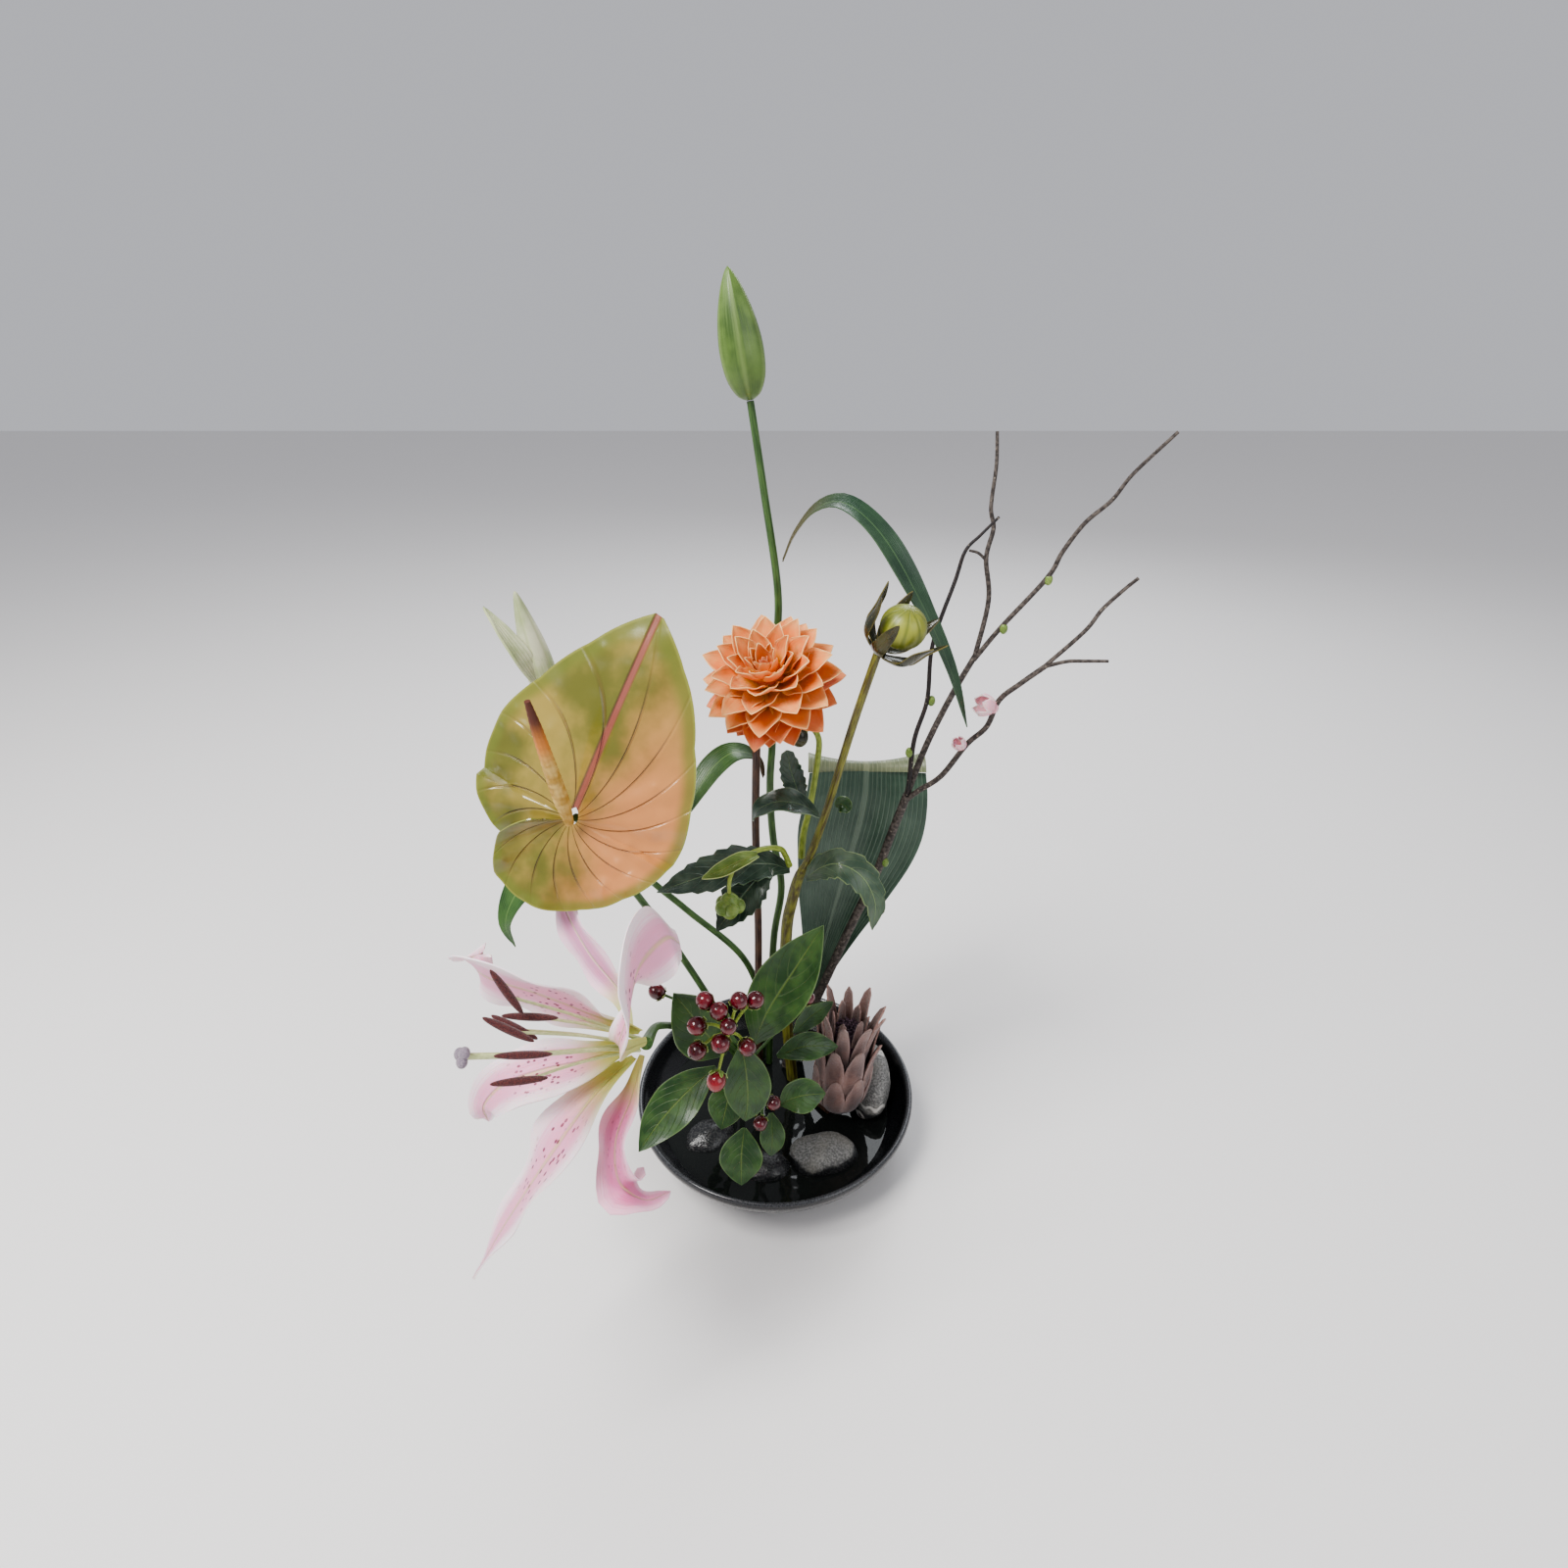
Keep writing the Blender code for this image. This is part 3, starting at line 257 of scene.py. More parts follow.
def spathe_look(name):
    """Lacquered anthurium spathe: olive on the left and round the edge, peach on the right."""
    look = Look(name)
    u, v, _ = look.parts(look.uv())
    x, y, _ = look.parts(look.uv("flat"))
    mottle = look.noise(28.0, detail=4.0)
    lean = look.plus(x, look.times(look.minus(mottle, 0.5), 0.5))
    warm = look.times(look.ease(lean, 0.42, 0.72), look.ease(y, 0.62, 1.15, 1.0, 0.25))
    colour = look.blend(look.ease(mottle, 0.35, 0.65), (0.13, 0.13, 0.02), (0.33, 0.25, 0.06))
    colour = look.blend(warm, colour, (0.56, 0.24, 0.085))
    colour = look.blend(look.ease(v, 0.84, 0.95, 0.0, 0.75), colour, (0.14, 0.17, 0.025))
    colour = look.blend(look.ease(v, 0.975, 0.995), colour, (0.24, 0.25, 0.05))
    fan = look.plus(look.times(u, 19.0), look.times(v, 1.5))
    ridge = look.from_half(look.math("FRACT", fan))
    vein = look.times(look.ease(ridge, 0.44, 0.5), look.ease(v, 0.5, 0.9, 1.0, 0.15))
    colour = look.blend(look.times(vein, 0.35), colour, (0.16, 0.055, 0.03))
    off_rib = look.from_half(x)
    rib = look.times(look.fade(off_rib, 0.006, 0.018), look.ease(y, 0.49, 0.52))
    colour = look.blend(look.times(rib, 0.85), colour, (0.30, 0.075, 0.07))
    blister = look.add("ShaderNodeTexVoronoi", {"Scale": 95.0, "Vector": look.place()}, feature="SMOOTH_F1")
    dimple = look.times(blister.outputs["Distance"], look.ease(v, 0.3, 0.8, 0.25, 1.0))
    dimple = look.times(dimple, look.ease(y, 0.6, 0.95, 1.0, 0.25))
    relief = look.minus(look.minus(0.6, dimple), look.times(vein, 0.45))
    relief = look.minus(relief, look.times(rib, 0.5))
    look.bump(relief, 2.6, 1.0)
    return look.finish(colour, 0.22, Coat_Weight=0.7, Coat_Roughness=0.08)


def spadix_look(name):
    """Tan spadix, turning orange and then dark maroon to its tip."""
    look = Look(name)
    u, v, _ = look.parts(look.uv())
    tone = look.noise(160.0)
    colour = look.blend(look.ease(tone, 0.35, 0.65), (0.42, 0.25, 0.05), (0.60, 0.42, 0.14))
    colour = look.blend(look.ease(v, 0.5, 0.7), colour, (0.55, 0.20, 0.04))
    colour = look.blend(look.ease(v, 0.68, 0.88), colour, (0.10, 0.025, 0.012))
    look.bump(tone, 0.4, 0.7)
    return look.finish(colour, 0.55)


def stem_look(name, dark, light, roughness=0.42, ribs=0.0):
    """A smooth stem: long streaks of two colours and small pores."""
    look = Look(name)
    streak = look.streaks(9.0, 26.0)
    pores = look.cells(900.0)
    colour = look.blend(look.ease(streak, 0.35, 0.68), dark, light)
    colour = look.blend(look.ease(pores, 0.1, 0.25, 0.35, 0.0), colour, light)
    u, _, _ = look.parts(look.uv())
    ridge = look.math("SINE", look.times(u, 62.8))
    relief = look.plus(look.times(ridge, 0.15 + ribs), look.times(streak, 0.5))
    look.bump(relief, 0.4, 0.7)
    return look.finish(colour, look.ease(streak, 0.3, 0.7, roughness - 0.08, roughness + 0.1))


def bark_look(name, dark, light):
    """Rough bark with fine rings and pale pores."""
    look = Look(name)
    rough = look.noise(420.0, detail=6.0)
    rings = look.streaks(3.0, 90.0)
    spots = look.cells(260.0)
    colour = look.blend(look.ease(rough, 0.38, 0.66), dark, light)
    colour = look.blend(look.ease(spots, 0.08, 0.2, 0.6, 0.0), colour, (0.34, 0.29, 0.23))
    relief = look.plus(look.times(rough, 0.7), look.times(rings, 0.5))
    look.bump(relief, 0.9, 1.0)
    return look.finish(colour, look.ease(rough, 0.3, 0.7, 0.55, 0.85))


def berry_look(name, dark, light):
    """A glossy berry with a few paler specks."""
    look = Look(name)
    tone = look.noise(120.0)
    speck = look.cells(1200.0)
    colour = look.blend(look.ease(tone, 0.35, 0.7), dark, light)
    colour = look.blend(look.ease(speck, 0.05, 0.2, 0.25, 0.0), colour, light)
    look.bump(tone, 0.5, 0.5)
    return look.finish(colour, 0.2, Coat_Weight=0.5, Coat_Roughness=0.08)


def powder_look(name, dark, light, roughness=0.85):
    """A dry, granular surface such as pollen or stigma."""
    look = Look(name)
    grain = look.noise(2200.0, detail=4.0)
    colour = look.blend(look.ease(grain, 0.38, 0.62), dark, light)
    look.bump(grain, 0.6, 1.0)
    return look.finish(colour, roughness, Sheen_Weight=0.3)


def bract_look(name):
    """A protea bract: mauve-brown, with a felt of pale pink hairs towards its rim."""
    look, u, v, s = blade_look(name)
    hair = look.streaks(46.0, 30.0, 5.0)
    tone = look.noise(70.0)
    colour = look.blend(look.ease(tone, 0.35, 0.7), (0.10, 0.042, 0.036), (0.23, 0.11, 0.085))
    felt = look.math("MAXIMUM", look.ease(s, 0.45, 1.0), look.ease(v, 0.62, 1.0))
    felt = look.times(felt, look.ease(hair, 0.3, 0.62, 0.25, 1.0))
    colour = look.blend(look.times(felt, 0.8), colour, (0.50, 0.32, 0.28))
    colour = look.blend(look.ease(v, 0.0, 0.35, 0.5, 0.0), colour, (0.09, 0.03, 0.045))
    look.bump(hair, 1.0, 1.0)
    return look.finish(colour, 0.8, Sheen_Weight=0.5, Sheen_Roughness=0.5)


def glaze_look(name):
    """Black glaze with a faint orange-peel, fine wear that is dull and a little grey, and a painted
    highlight along the top of the rim.
    """
    look = Look(name)
    peel = look.noise(130.0, detail=2.0)
    wear = look.noise(900.0, detail=5.0)
    _, _, z = look.parts(look.place())
    # Painted highlight: the top of the rim is painted a lighter grey, made patchy by the wear noise.
    rim = look.ease(z, 0.0435, 0.0457)
    rim = look.times(rim, look.ease(wear, 0.3, 0.6, 0.4, 1.0))
    colour = look.blend(look.ease(wear, 0.6, 0.75, 0.0, 0.35), (0.006, 0.0065, 0.008), (0.03, 0.032, 0.036))
    colour = look.blend(look.times(rim, 0.6), colour, (0.075, 0.078, 0.085))
    look.bump(look.plus(look.times(peel, 0.8), look.times(wear, 0.06)), 0.35, 0.6)
    return look.finish(colour, look.ease(wear, 0.35, 0.7, 0.2, 0.36), Coat_Weight=0.35, Coat_Roughness=0.12)


def water_look(name):
    """Still water, painted near-black: painted shade for the dark beneath its surface."""
    look = Look(name)
    ripple = look.noise(34.0, detail=2.0)
    look.bump(ripple, 1.1, 0.6)
    # Painted shade: near-black water colour, a little lighter where the ripple noise is high.
    depth = look.blend(ripple, (0.010, 0.012, 0.012), (0.020, 0.023, 0.021))
    return look.finish(depth, 0.03, IOR=1.33, Transmission_Weight=0.25)


def stone_look(name, veins, wet_height):
    """River stone: speckled grey, dark and shiny below its water line, with or without quartz."""
    look = Look(name)
    grain = look.noise(700.0, detail=6.0)
    tone = look.noise(60.0)
    _, _, z = look.parts(look.place())
    line = look.plus(z, look.times(look.minus(tone, 0.5), 0.012))
    dry = look.ease(line, wet_height - 0.0015, wet_height + 0.0025)
    colour = look.blend(look.ease(grain, 0.38, 0.64), (0.13, 0.13, 0.125), (0.30, 0.295, 0.28))
    colour = look.blend(look.ease(tone, 0.4, 0.7, 0.0, 0.5), colour, (0.22, 0.21, 0.18))
    wet = look.blend(look.ease(grain, 0.4, 0.7), (0.020, 0.021, 0.023), (0.065, 0.066, 0.065))
    colour = look.blend(dry, wet, colour)
    warp = look.noise(26.0, detail=2.0)
    band = look.from_half(warp)
    quartz = look.times(look.fade(band, 0.006, 0.02), veins)
    colour = look.blend(quartz, colour, (0.62, 0.60, 0.56))
    look.bump(look.plus(grain, look.times(quartz, 0.4)), 0.5, 0.8)
    return look.finish(colour, look.ease(dry, 0.0, 1.0, 0.12, 0.62))


def lead_look(name):
    """Scuffed lead."""
    look = Look(name)
    scuff = look.noise(500.0, detail=5.0)
    colour = look.blend(look.ease(scuff, 0.4, 0.65), (0.05, 0.05, 0.055), (0.18, 0.18, 0.19))
    look.bump(scuff, 0.3, 0.8)
    return look.finish(colour, look.ease(scuff, 0.3, 0.7, 0.35, 0.65), Metallic=0.8)


def floor_look(name):
    """Plain pale floor."""
    look = Look(name)
    return look.finish((0.80, 0.785, 0.775), 0.75)


MADE = {}

# Every finish: what makes it, then the values it takes after its name.
FINISHES = {
    "bowl_black": (glaze_look,),
    "water": (water_look,),
    "floor": (floor_look,),
    "kenzan_lead": (lead_look,),
    "stone_front": (stone_look, 0.0, 0.0265),
    "stone_right": (stone_look, 1.0, 0.032),
    "stone_left": (stone_look, 0.0, 0.036),
    "stem_green": (stem_look, (0.035, 0.085, 0.022), (0.085, 0.17, 0.045)),
    "stem_brown": (stem_look, (0.045, 0.020, 0.016), (0.12, 0.06, 0.035), 0.45, 0.4),
    "stem_olive": (stem_look, (0.085, 0.065, 0.016), (0.24, 0.24, 0.04), 0.42, 0.3),
    "stem_lime": (stem_look, (0.20, 0.27, 0.04), (0.36, 0.44, 0.08)),
    "lily_leaf": (strap_look, (0.012, 0.042, 0.022), (0.035, 0.085, 0.040), (0.11, 0.20, 0.08),
        15.0, 0.28, 0.25, (0.10, 0.075, 0.02)),
    "lily_leaf_fresh": (strap_look, (0.020, 0.065, 0.016), (0.055, 0.13, 0.03), (0.14, 0.24, 0.07),
        13.0, 0.30, 0.3, (0.10, 0.03, 0.025)),
    "aspidistra": (strap_look, (0.035, 0.075, 0.048), (0.065, 0.115, 0.078), (0.17, 0.23, 0.17),
        27.0, 0.30, 0.4),
    "aspidistra_fold": (strap_look, (0.15, 0.18, 0.10), (0.24, 0.27, 0.16), (0.33, 0.36, 0.22),
        27.0, 0.38, 0.5),
    "hypericum_leaf": (leaf_look, (0.014, 0.050, 0.010), (0.040, 0.10, 0.018), (0.11, 0.17, 0.035),
        (0.10, 0.17, 0.05), 7.0, 3.0, 0.38),
    "dahlia_leaf": (leaf_look, (0.020, 0.042, 0.028), (0.055, 0.090, 0.060), (0.13, 0.19, 0.10),
        (0.11, 0.16, 0.09), 9.0, 2.6, 0.33),
    "dahlia_leaf_grey": (leaf_look, (0.040, 0.075, 0.045), (0.085, 0.13, 0.078), (0.22, 0.30, 0.14),
        (0.20, 0.27, 0.12), 9.0, 2.4, 0.36),
    "leaf_lime": (leaf_look, (0.11, 0.19, 0.03), (0.24, 0.34, 0.08), (0.46, 0.54, 0.22),
        (0.42, 0.50, 0.20), 8.0, 2.0, 0.4),
    "sepal": (leaf_look, (0.018, 0.020, 0.008), (0.060, 0.055, 0.018), (0.11, 0.11, 0.03),
        (0.14, 0.12, 0.04), 3.0, 1.0, 0.22),
    "calyx": (leaf_look, (0.13, 0.21, 0.04), (0.26, 0.36, 0.09), (0.34, 0.44, 0.13),
        (0.36, 0.44, 0.15), 3.0, 1.5, 0.42),
    "bud_green": (strap_look, (0.05, 0.10, 0.018), (0.125, 0.21, 0.045), (0.22, 0.31, 0.10), 6.0,
        0.42, 0.5),
    "bud_pale": (strap_look, (0.34, 0.40, 0.20), (0.62, 0.63, 0.45), (0.40, 0.46, 0.22), 6.0, 0.44, 0.5),
    "bud_dahlia": (strap_look, (0.15, 0.17, 0.02), (0.31, 0.33, 0.05), (0.12, 0.15, 0.02), 9.0, 0.4, 0.7),
    "tepal_pale": (tepal_look, (0.80, 0.36, 0.52), (0.90, 0.76, 0.80), (0.50, 0.52, 0.14), 0.85),
    "tepal_deep": (tepal_look, (0.66, 0.20, 0.38), (0.85, 0.52, 0.64), (0.46, 0.42, 0.13), 0.3),
    "tepal_back": (tepal_look, (0.60, 0.27, 0.43), (0.84, 0.60, 0.70), (0.56, 0.60, 0.28), 0.0),
    "filament": (stem_look, (0.50, 0.56, 0.25), (0.68, 0.70, 0.40)),
    "anther": (powder_look, (0.035, 0.004, 0.010), (0.13, 0.025, 0.020)),
    "stigma": (powder_look, (0.16, 0.12, 0.17), (0.34, 0.28, 0.33), 0.5),
    "spathe": (spathe_look,),
    "spadix": (spadix_look,),
    "floret_low": (floret_look, (0.68, 0.16, 0.07), (0.84, 0.36, 0.15), (0.76, 0.42, 0.07)),
    "floret": (floret_look, (0.82, 0.25, 0.065), (0.93, 0.56, 0.25), (0.86, 0.50, 0.05)),
    "floret_heart": (floret_look, (0.60, 0.11, 0.06), (0.88, 0.42, 0.22), (0.40, 0.04, 0.03)),
    "bark_grey": (bark_look, (0.035, 0.027, 0.024), (0.125, 0.105, 0.092)),
    "bark_black": (bark_look, (0.010, 0.008, 0.009), (0.040, 0.030, 0.028)),
    "blossom": (floret_look, (0.84, 0.45, 0.52), (0.92, 0.78, 0.78), (0.62, 0.16, 0.22)),
    "berry": (berry_look, (0.045, 0.0020, 0.006), (0.15, 0.008, 0.016)),
    "berry_red": (berry_look, (0.14, 0.006, 0.012), (0.30, 0.018, 0.024)),
    "berry_tip": (powder_look, (0.010, 0.004, 0.003), (0.04, 0.018, 0.01), 0.6),
    "bract": (bract_look,),
    "protea_heart": (powder_look, (0.022, 0.006, 0.018), (0.11, 0.04, 0.075)),
}


def look_of(name):
    """The material of this name, made the first time it is asked for."""
    if name not in MADE:
        maker, *values = FINISHES[name]
        MADE[name] = maker(name + "_finish", *values)
    return MADE[name]


# Each finish, and the starts of the names of the pieces that have it; the longest match counts.
PARTS_OF_LOOK = {
    "water": ("water",),
    "bowl_black": ("bowl",),
    "stone_front": ("stone_front",),
    "stone_right": ("stone_right",),
    "stone_left": ("stone_",),
    "stem_green": ("lily_", "anthurium_stem", "sprig", "side_stalk_"),
    "bud_green": ("lily_tall_bud",),
    "lily_leaf": ("lily_leaf_right",),
    "lily_leaf_fresh": ("lily_leaf_left", "lily_side_leaf"),
    "bud_pale": ("bud", "peel"),
    "tepal_pale": ("lily_tepal_",),
    "tepal_back": ("lily_tepal_2",),
    "tepal_deep": ("lily_tepal_6",),
    "filament": ("filament_", "style"),
    "anther": ("anther_",),
    "stigma": ("lobe_",),
    "spathe": ("anthurium_spathe",),
    "spadix": ("anthurium_spadix",),
    "floret": ("floret_",),
    "floret_low": ("floret_0", "floret_1"),
    "floret_heart": ("floret_7", "heart"),
    "calyx": ("calyx", "twig_bud_"),
    "stem_brown": ("dahlia_stem", "protea_stem"),
    "stem_olive": ("dahlia_bud_stem",),
    "bud_dahlia": ("dahlia_bud",),
    "sepal": ("cup", "sepal_", "second_bud"),
    "dahlia_leaf": ("left", "lobe", "dahlia_leaf_"),
    "dahlia_leaf_grey": ("dahlia_leaf_right",),
    "hypericum_leaf": ("dahlia_leaf_small", "hypericum_leaf_"),
    "stem_lime": ("shoot", "second", "pedicel_"),
    "leaf_lime": ("budlet_", "dahlia_shoot_leaf"),
    "aspidistra": ("aspidistra_leaf",),
    "aspidistra_fold": ("aspidistra_fold",),
    "bark_grey": ("trunk", "twig_"),
    "bark_black": ("twig_0",),
    "blossom": ("blossom_",),
    "berry": ("berry_", "side_berry_"),
    "berry_red": ("berry_9",),
    "berry_tip": ("tip_",),
    "protea_heart": ("protea_core", "protea_style_"),
    "bract": ("bract_",),
}
PART_LOOKS = {part: look for look, parts in PARTS_OF_LOOK.items() for part in parts}

# How far an edge waves, in millimetres, and how many teeth it has, for pieces by name.
RUFFLES = {
    "lily_tepal_": 2.2,
    "hypericum_leaf_": 0.8,
    "dahlia_leaf_": 1.2,
    "left": 1.4,
    "lobe": 1.2,
    "floret_": 0.9,
}
TEETH = {"left": 9, "lobe": 8, "dahlia_leaf_right": 8, "dahlia_leaf_upper": 8}
PLAIN_RUFFLE = 0.3
TOOTH_DEPTH = 0.2  # as a share of the half width
BLUNT_TIP = 10.0  # a blade that ends wider than this keeps its square end
FINENESS = 4  # how many times finer a blade's grid is than the CAD's
PROFILE_STEPS = 4
BALL_AROUND = 28
BALL_ALONG = 18
SHARP_EDGE = math.radians(50)


# ---------------------------------------------------------------------------------------------
# Tools


def by_name(table, name, default):
    """The value of the longest key that the name starts with."""
    keys = [key for key in table if name.startswith(key)]
    return table[max(keys, key=len)] if keys else default


def smooth(points, steps):
    """Points along a Catmull-Rom curve through the given ones."""
    points = [Vector(point) for point in points]
    ends = [2 * points[0] - points[1]] + points + [2 * points[-1] - points[-2]]
    route = []
    for a, b, c, d in zip(ends, ends[1:], ends[2:], ends[3:]):
        for step in range(steps):
            t = step / steps
            bend = (2 * a - 5 * b + 4 * c - d) * t * t + (3 * b - a - 3 * c + d) * t**3
            route.append(0.5 * (2 * b + (c - a) * t + bend))
    route.append(points[-1])
    return route


def along(values, t):
    """The value at share t of a list of values, numbers or vectors, that are evenly spaced."""
    place = min(max(t, 0.0), 1.0) * (len(values) - 1)
    low = min(int(place), len(values) - 2)
    share = place - low
    return values[low] * (1 - share) + values[low + 1] * share


def spread(points, count):
    """count + 1 points evenly spaced along a smooth route through the given ones."""
    fine = smooth(points, 12)
    lengths = [0.0]
    for a, b in zip(fine, fine[1:]):
        lengths.append(lengths[-1] + (b - a).length)
    route = []
    k = 0
    for i in range(count + 1):
        target = lengths[-1] * i / count
        while k < len(fine) - 2 and lengths[k + 1] < target:
            k += 1
        share = (target - lengths[k]) / max(lengths[k + 1] - lengths[k], 1e-9)
        route.append(fine[k].lerp(fine[k + 1], min(share, 1.0)))
    return route


def painted(name, mesh):
    """An object of this mesh, with the material that its name asks for."""
    mesh.materials.append(look_of(by_name(PART_LOOKS, name, "stem_green")))
    thing = bpy.data.objects.new(name + "_look", mesh)
    thing["node"] = name
    bpy.context.scene.collection.objects.link(thing)
    return thing


def surface(name, columns, rows, place, around=False):
    """A grid of columns by rows; place gives the point in metres for shares u across and v along."""
    wide = columns + 1
    points = []
    for j in range(rows + 1):
        for i in range(wide):
            points.append(place(i / columns, j / rows))
    faces = []
    for j in range(rows):
        for i in range(columns):
            corner = j * wide + i
            faces.append((corner, corner + 1, corner + wide + 1, corner + wide))
    mesh = bpy.data.meshes.new(name)
    mesh.from_pydata(points, [], faces)
    layer = mesh.uv_layers.new(name="leaf")
    for loop in mesh.loops:
        row, column = divmod(loop.vertex_index, wide)
        layer.data[loop.index].uv = (column / columns, row / rows)
    if around:
        shape = bmesh.new()
        shape.from_mesh(mesh)
        bmesh.ops.remove_doubles(shape, verts=shape.verts[:], dist=1e-6)
        bmesh.ops.recalc_face_normals(shape, faces=shape.faces[:])
        shape.to_mesh(mesh)
        shape.free()
    return painted(name, mesh)


def tube(name, points, radii, steps=9, sides=20, relief=None):
    """A round stem along a route, its radius following the list of radii from end to end."""
    route = smooth([Vector(point) * MM for point in points], steps)
    route = [route[0]] + route + [route[-1]]
    last = len(route) - 1
    sideways = []
    side = Vector((1, 0, 0))
    for i in range(last + 1):
        ahead = (route[min(i + 2, last)] - route[max(i - 2, 0)]).normalized()
        side = (side - ahead * side.dot(ahead)).normalized()
        sideways.append((side, ahead.cross(side)))

    def place(u, v):
        i = round(v * last)
        if i in (0, last):
            return route[i]
        t = (i - 1) / (last - 2)
        first, second = sideways[i]
        turn = 2 * math.pi * u
        radius = along(radii, t) * MM * (relief(u, t) if relief else 1.0)
        return route[i] + (first * math.cos(turn) + second * math.sin(turn)) * radius

    return surface(name, sides, last, place, around=True)


def thickened(thing, thickness):
    """The same sheet given a thickness, worked into its mesh."""
    thicken = thing.modifiers.new("thickness", "SOLIDIFY")
    thicken.thickness = thickness * MM
    thicken.offset = 0.0
    graph = bpy.context.evaluated_depsgraph_get()
    mesh = bpy.data.meshes.new_from_object(thing.evaluated_get(graph))
    thing.modifiers.clear()
    thing.data = mesh
    return thing


def blade(name, spine, widths, facing, bend=(0.0,), rows=8, columns=4, thickness=LEAF_THICKNESS):
    """A leaf or petal: a fine grid bent onto its spine, with a waving or toothed edge, thickened."""
    rows *= FINENESS
    columns *= FINENESS
    route = spread([Vector(point) * MM for point in spine], rows)
    facings = [Vector(way) for way in facing]
    facings = facings if len(facings) > 1 else facings * 2
    bends = list(bend) if len(bend) > 1 else list(bend) * 2
    outline = smooth([Vector((width, 0, 0)) for width in widths], 6)
    ruffle = by_name(RUFFLES, name, PLAIN_RUFFLE) * MM
    teeth = by_name(TEETH, name, 0)
    phase = sum(ord(letter) for letter in name) % 7

    def place(u, v):
        s = 2 * u - 1
        i = round(v * rows)
        ahead = route[min(i + 1, rows)] - route[max(i - 1, 0)]
        side = ahead.cross(along(facings, v)).normalized()
        up = side.cross(ahead).normalized()
        half = max(along(outline, v).x, 0.3) * MM / 2
        if widths[-1] < BLUNT_TIP:
            half *= min(1.0, math.sqrt(max((1.0 - v) / 0.05, 0.0)) * 0.9 + 0.1)
        if teeth:
            notch = (v * teeth) % 1.0
            half *= 1 - TOOTH_DEPTH * abs(s) ** 6 * (1 - notch) * min(1.0, v * 6)
        curl = along(bends, v)
        out = s
        rise = 0.0
        if abs(curl) > 0.02:
            out = math.sin(s * curl) / curl
            rise = (1 - math.cos(s * curl)) / curl
        wave = ruffle * s * s * math.sin(2 * math.pi * (2.6 * v + 0.13 * phase) + s) * math.sin(math.pi * v)
        return route[i] + side * out * half + up * (rise * half + wave)

    return thickened(surface(name, columns, rows, place), thickness)


def ball(name, centre, radius, stretch=(1, 1, 1), way=(0, 0, 1), dent=0.0):
    """A round solid, stretched along its own axes and then turned so that its Z points along way."""
    turn = Vector(way).to_track_quat("Z", "Y").to_matrix()

    def place(u, v):
        angle = 2 * math.pi * u
        rise = math.pi * (v - 0.5)
        flat = math.cos(rise) * (1 + dent * math.sin(5 * angle))
        spot = Vector((flat * math.cos(angle), flat * math.sin(angle), math.sin(rise)))
        spot = Vector([spot[k] * stretch[k] * radius for k in range(3)])
        return (Vector(centre) + turn @ spot) * MM

    return surface(name, BALL_AROUND, BALL_ALONG, place, around=True)


def turned(name, profile, base, way, sides=48, ribs=0.0):
    """A solid of revolution: its profile of (radius, height) points, top first, round an axis."""
    line = smooth([Vector((radius, height, 0)) for radius, height in profile], PROFILE_STEPS)
    turn = Vector(way).to_track_quat("Z", "Y").to_matrix()
    last = len(line) - 1

    def place(u, v):
        point = line[last - round(v * last)]
        angle = 2 * math.pi * u
        radius = max(point.x, 0.0) * (1 + ribs * math.cos(6 * angle))
        spot = Vector((radius * math.cos(angle), radius * math.sin(angle), point.y))
        return (Vector(base) + turn @ spot) * MM

    return surface(name, sides, last, place, around=True)


def join(name, body, others):
    """One piece made of body and everything in others."""
    things = [body] + others
    with bpy.context.temp_override(active_object=body, selected_editable_objects=things):
        bpy.ops.object.join()
    body["node"] = name
    return body


def shade_smooth(thing):
    thing.data.polygons.foreach_set("use_smooth", [True] * len(thing.data.polygons))


def finish(thing):
    """Names a piece after the CAD node it stands for, smooths it, hangs it on the root body and hides that
    node.
    """
    node = thing["node"]
    thing.name = node + "_look"
    shade_smooth(thing)
    thing.data.set_sharp_from_angle(angle=SHARP_EDGE)
    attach(thing, "root")
    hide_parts(node)


# ---------------------------------------------------------------------------------------------
# Bowl and stones


def make_bowl():
    rim = BOWL_RADIUS
    top = BOWL_HEIGHT
    outside = [(rim - 2, top), (rim, top - 2), (rim - 1, top - 7), (rim - 6, top - 16)]
    outside += [(rim - 15, top - 26), (rim - 27, top - 35), (rim - 40, 5.0), (FOOT_RADIUS, 4.0)]
    foot = [(FOOT_RADIUS - 1, 0.0), (0.0, 0.0)]
    inside = [(0.0, BOWL_FLOOR), (rim - 42, BOWL_FLOOR), (rim - 33, 12.0), (rim - 23, 18.0)]
    inside += [(rim - 14, 26.0), (rim - 8, 34.0), (rim - 5, top - 3)]
    profile = inside + outside + foot
    bowl = turned("bowl", profile, (0, 0, 0), (0, 0, 1), sides=120)
    finish(bowl)


def make_stone(name, centre, halves, turn, lumps, seed):
    """A river stone: a ball with gentle lumps, turned by turn degrees about X, Y and Z."""
    angles = [math.radians(angle) for angle in turn]
    spin = Matrix.Rotation(angles[2], 4, "Z") @ Matrix.Rotation(angles[1], 4, "Y")
    spin = spin @ Matrix.Rotation(angles[0], 4, "X")

    def place(u, v):
        angle = 2 * math.pi * u
        rise = math.pi * (v - 0.5)
        way = Vector((math.cos(rise) * math.cos(angle), math.cos(rise) * math.sin(angle), math.sin(rise)))
        push = 1 + lumps * noise.noise(way * 1.3 + Vector((seed, 0, 0)))
        push += 0.012 * noise.noise(way * 6 + Vector((seed, 0, 0)))
        local = Vector([way[k] * halves[k] * push for k in range(3)])
        return (spin @ local + Vector(centre)) * MM

    finish(surface(name, 72, 48, place, around=True))


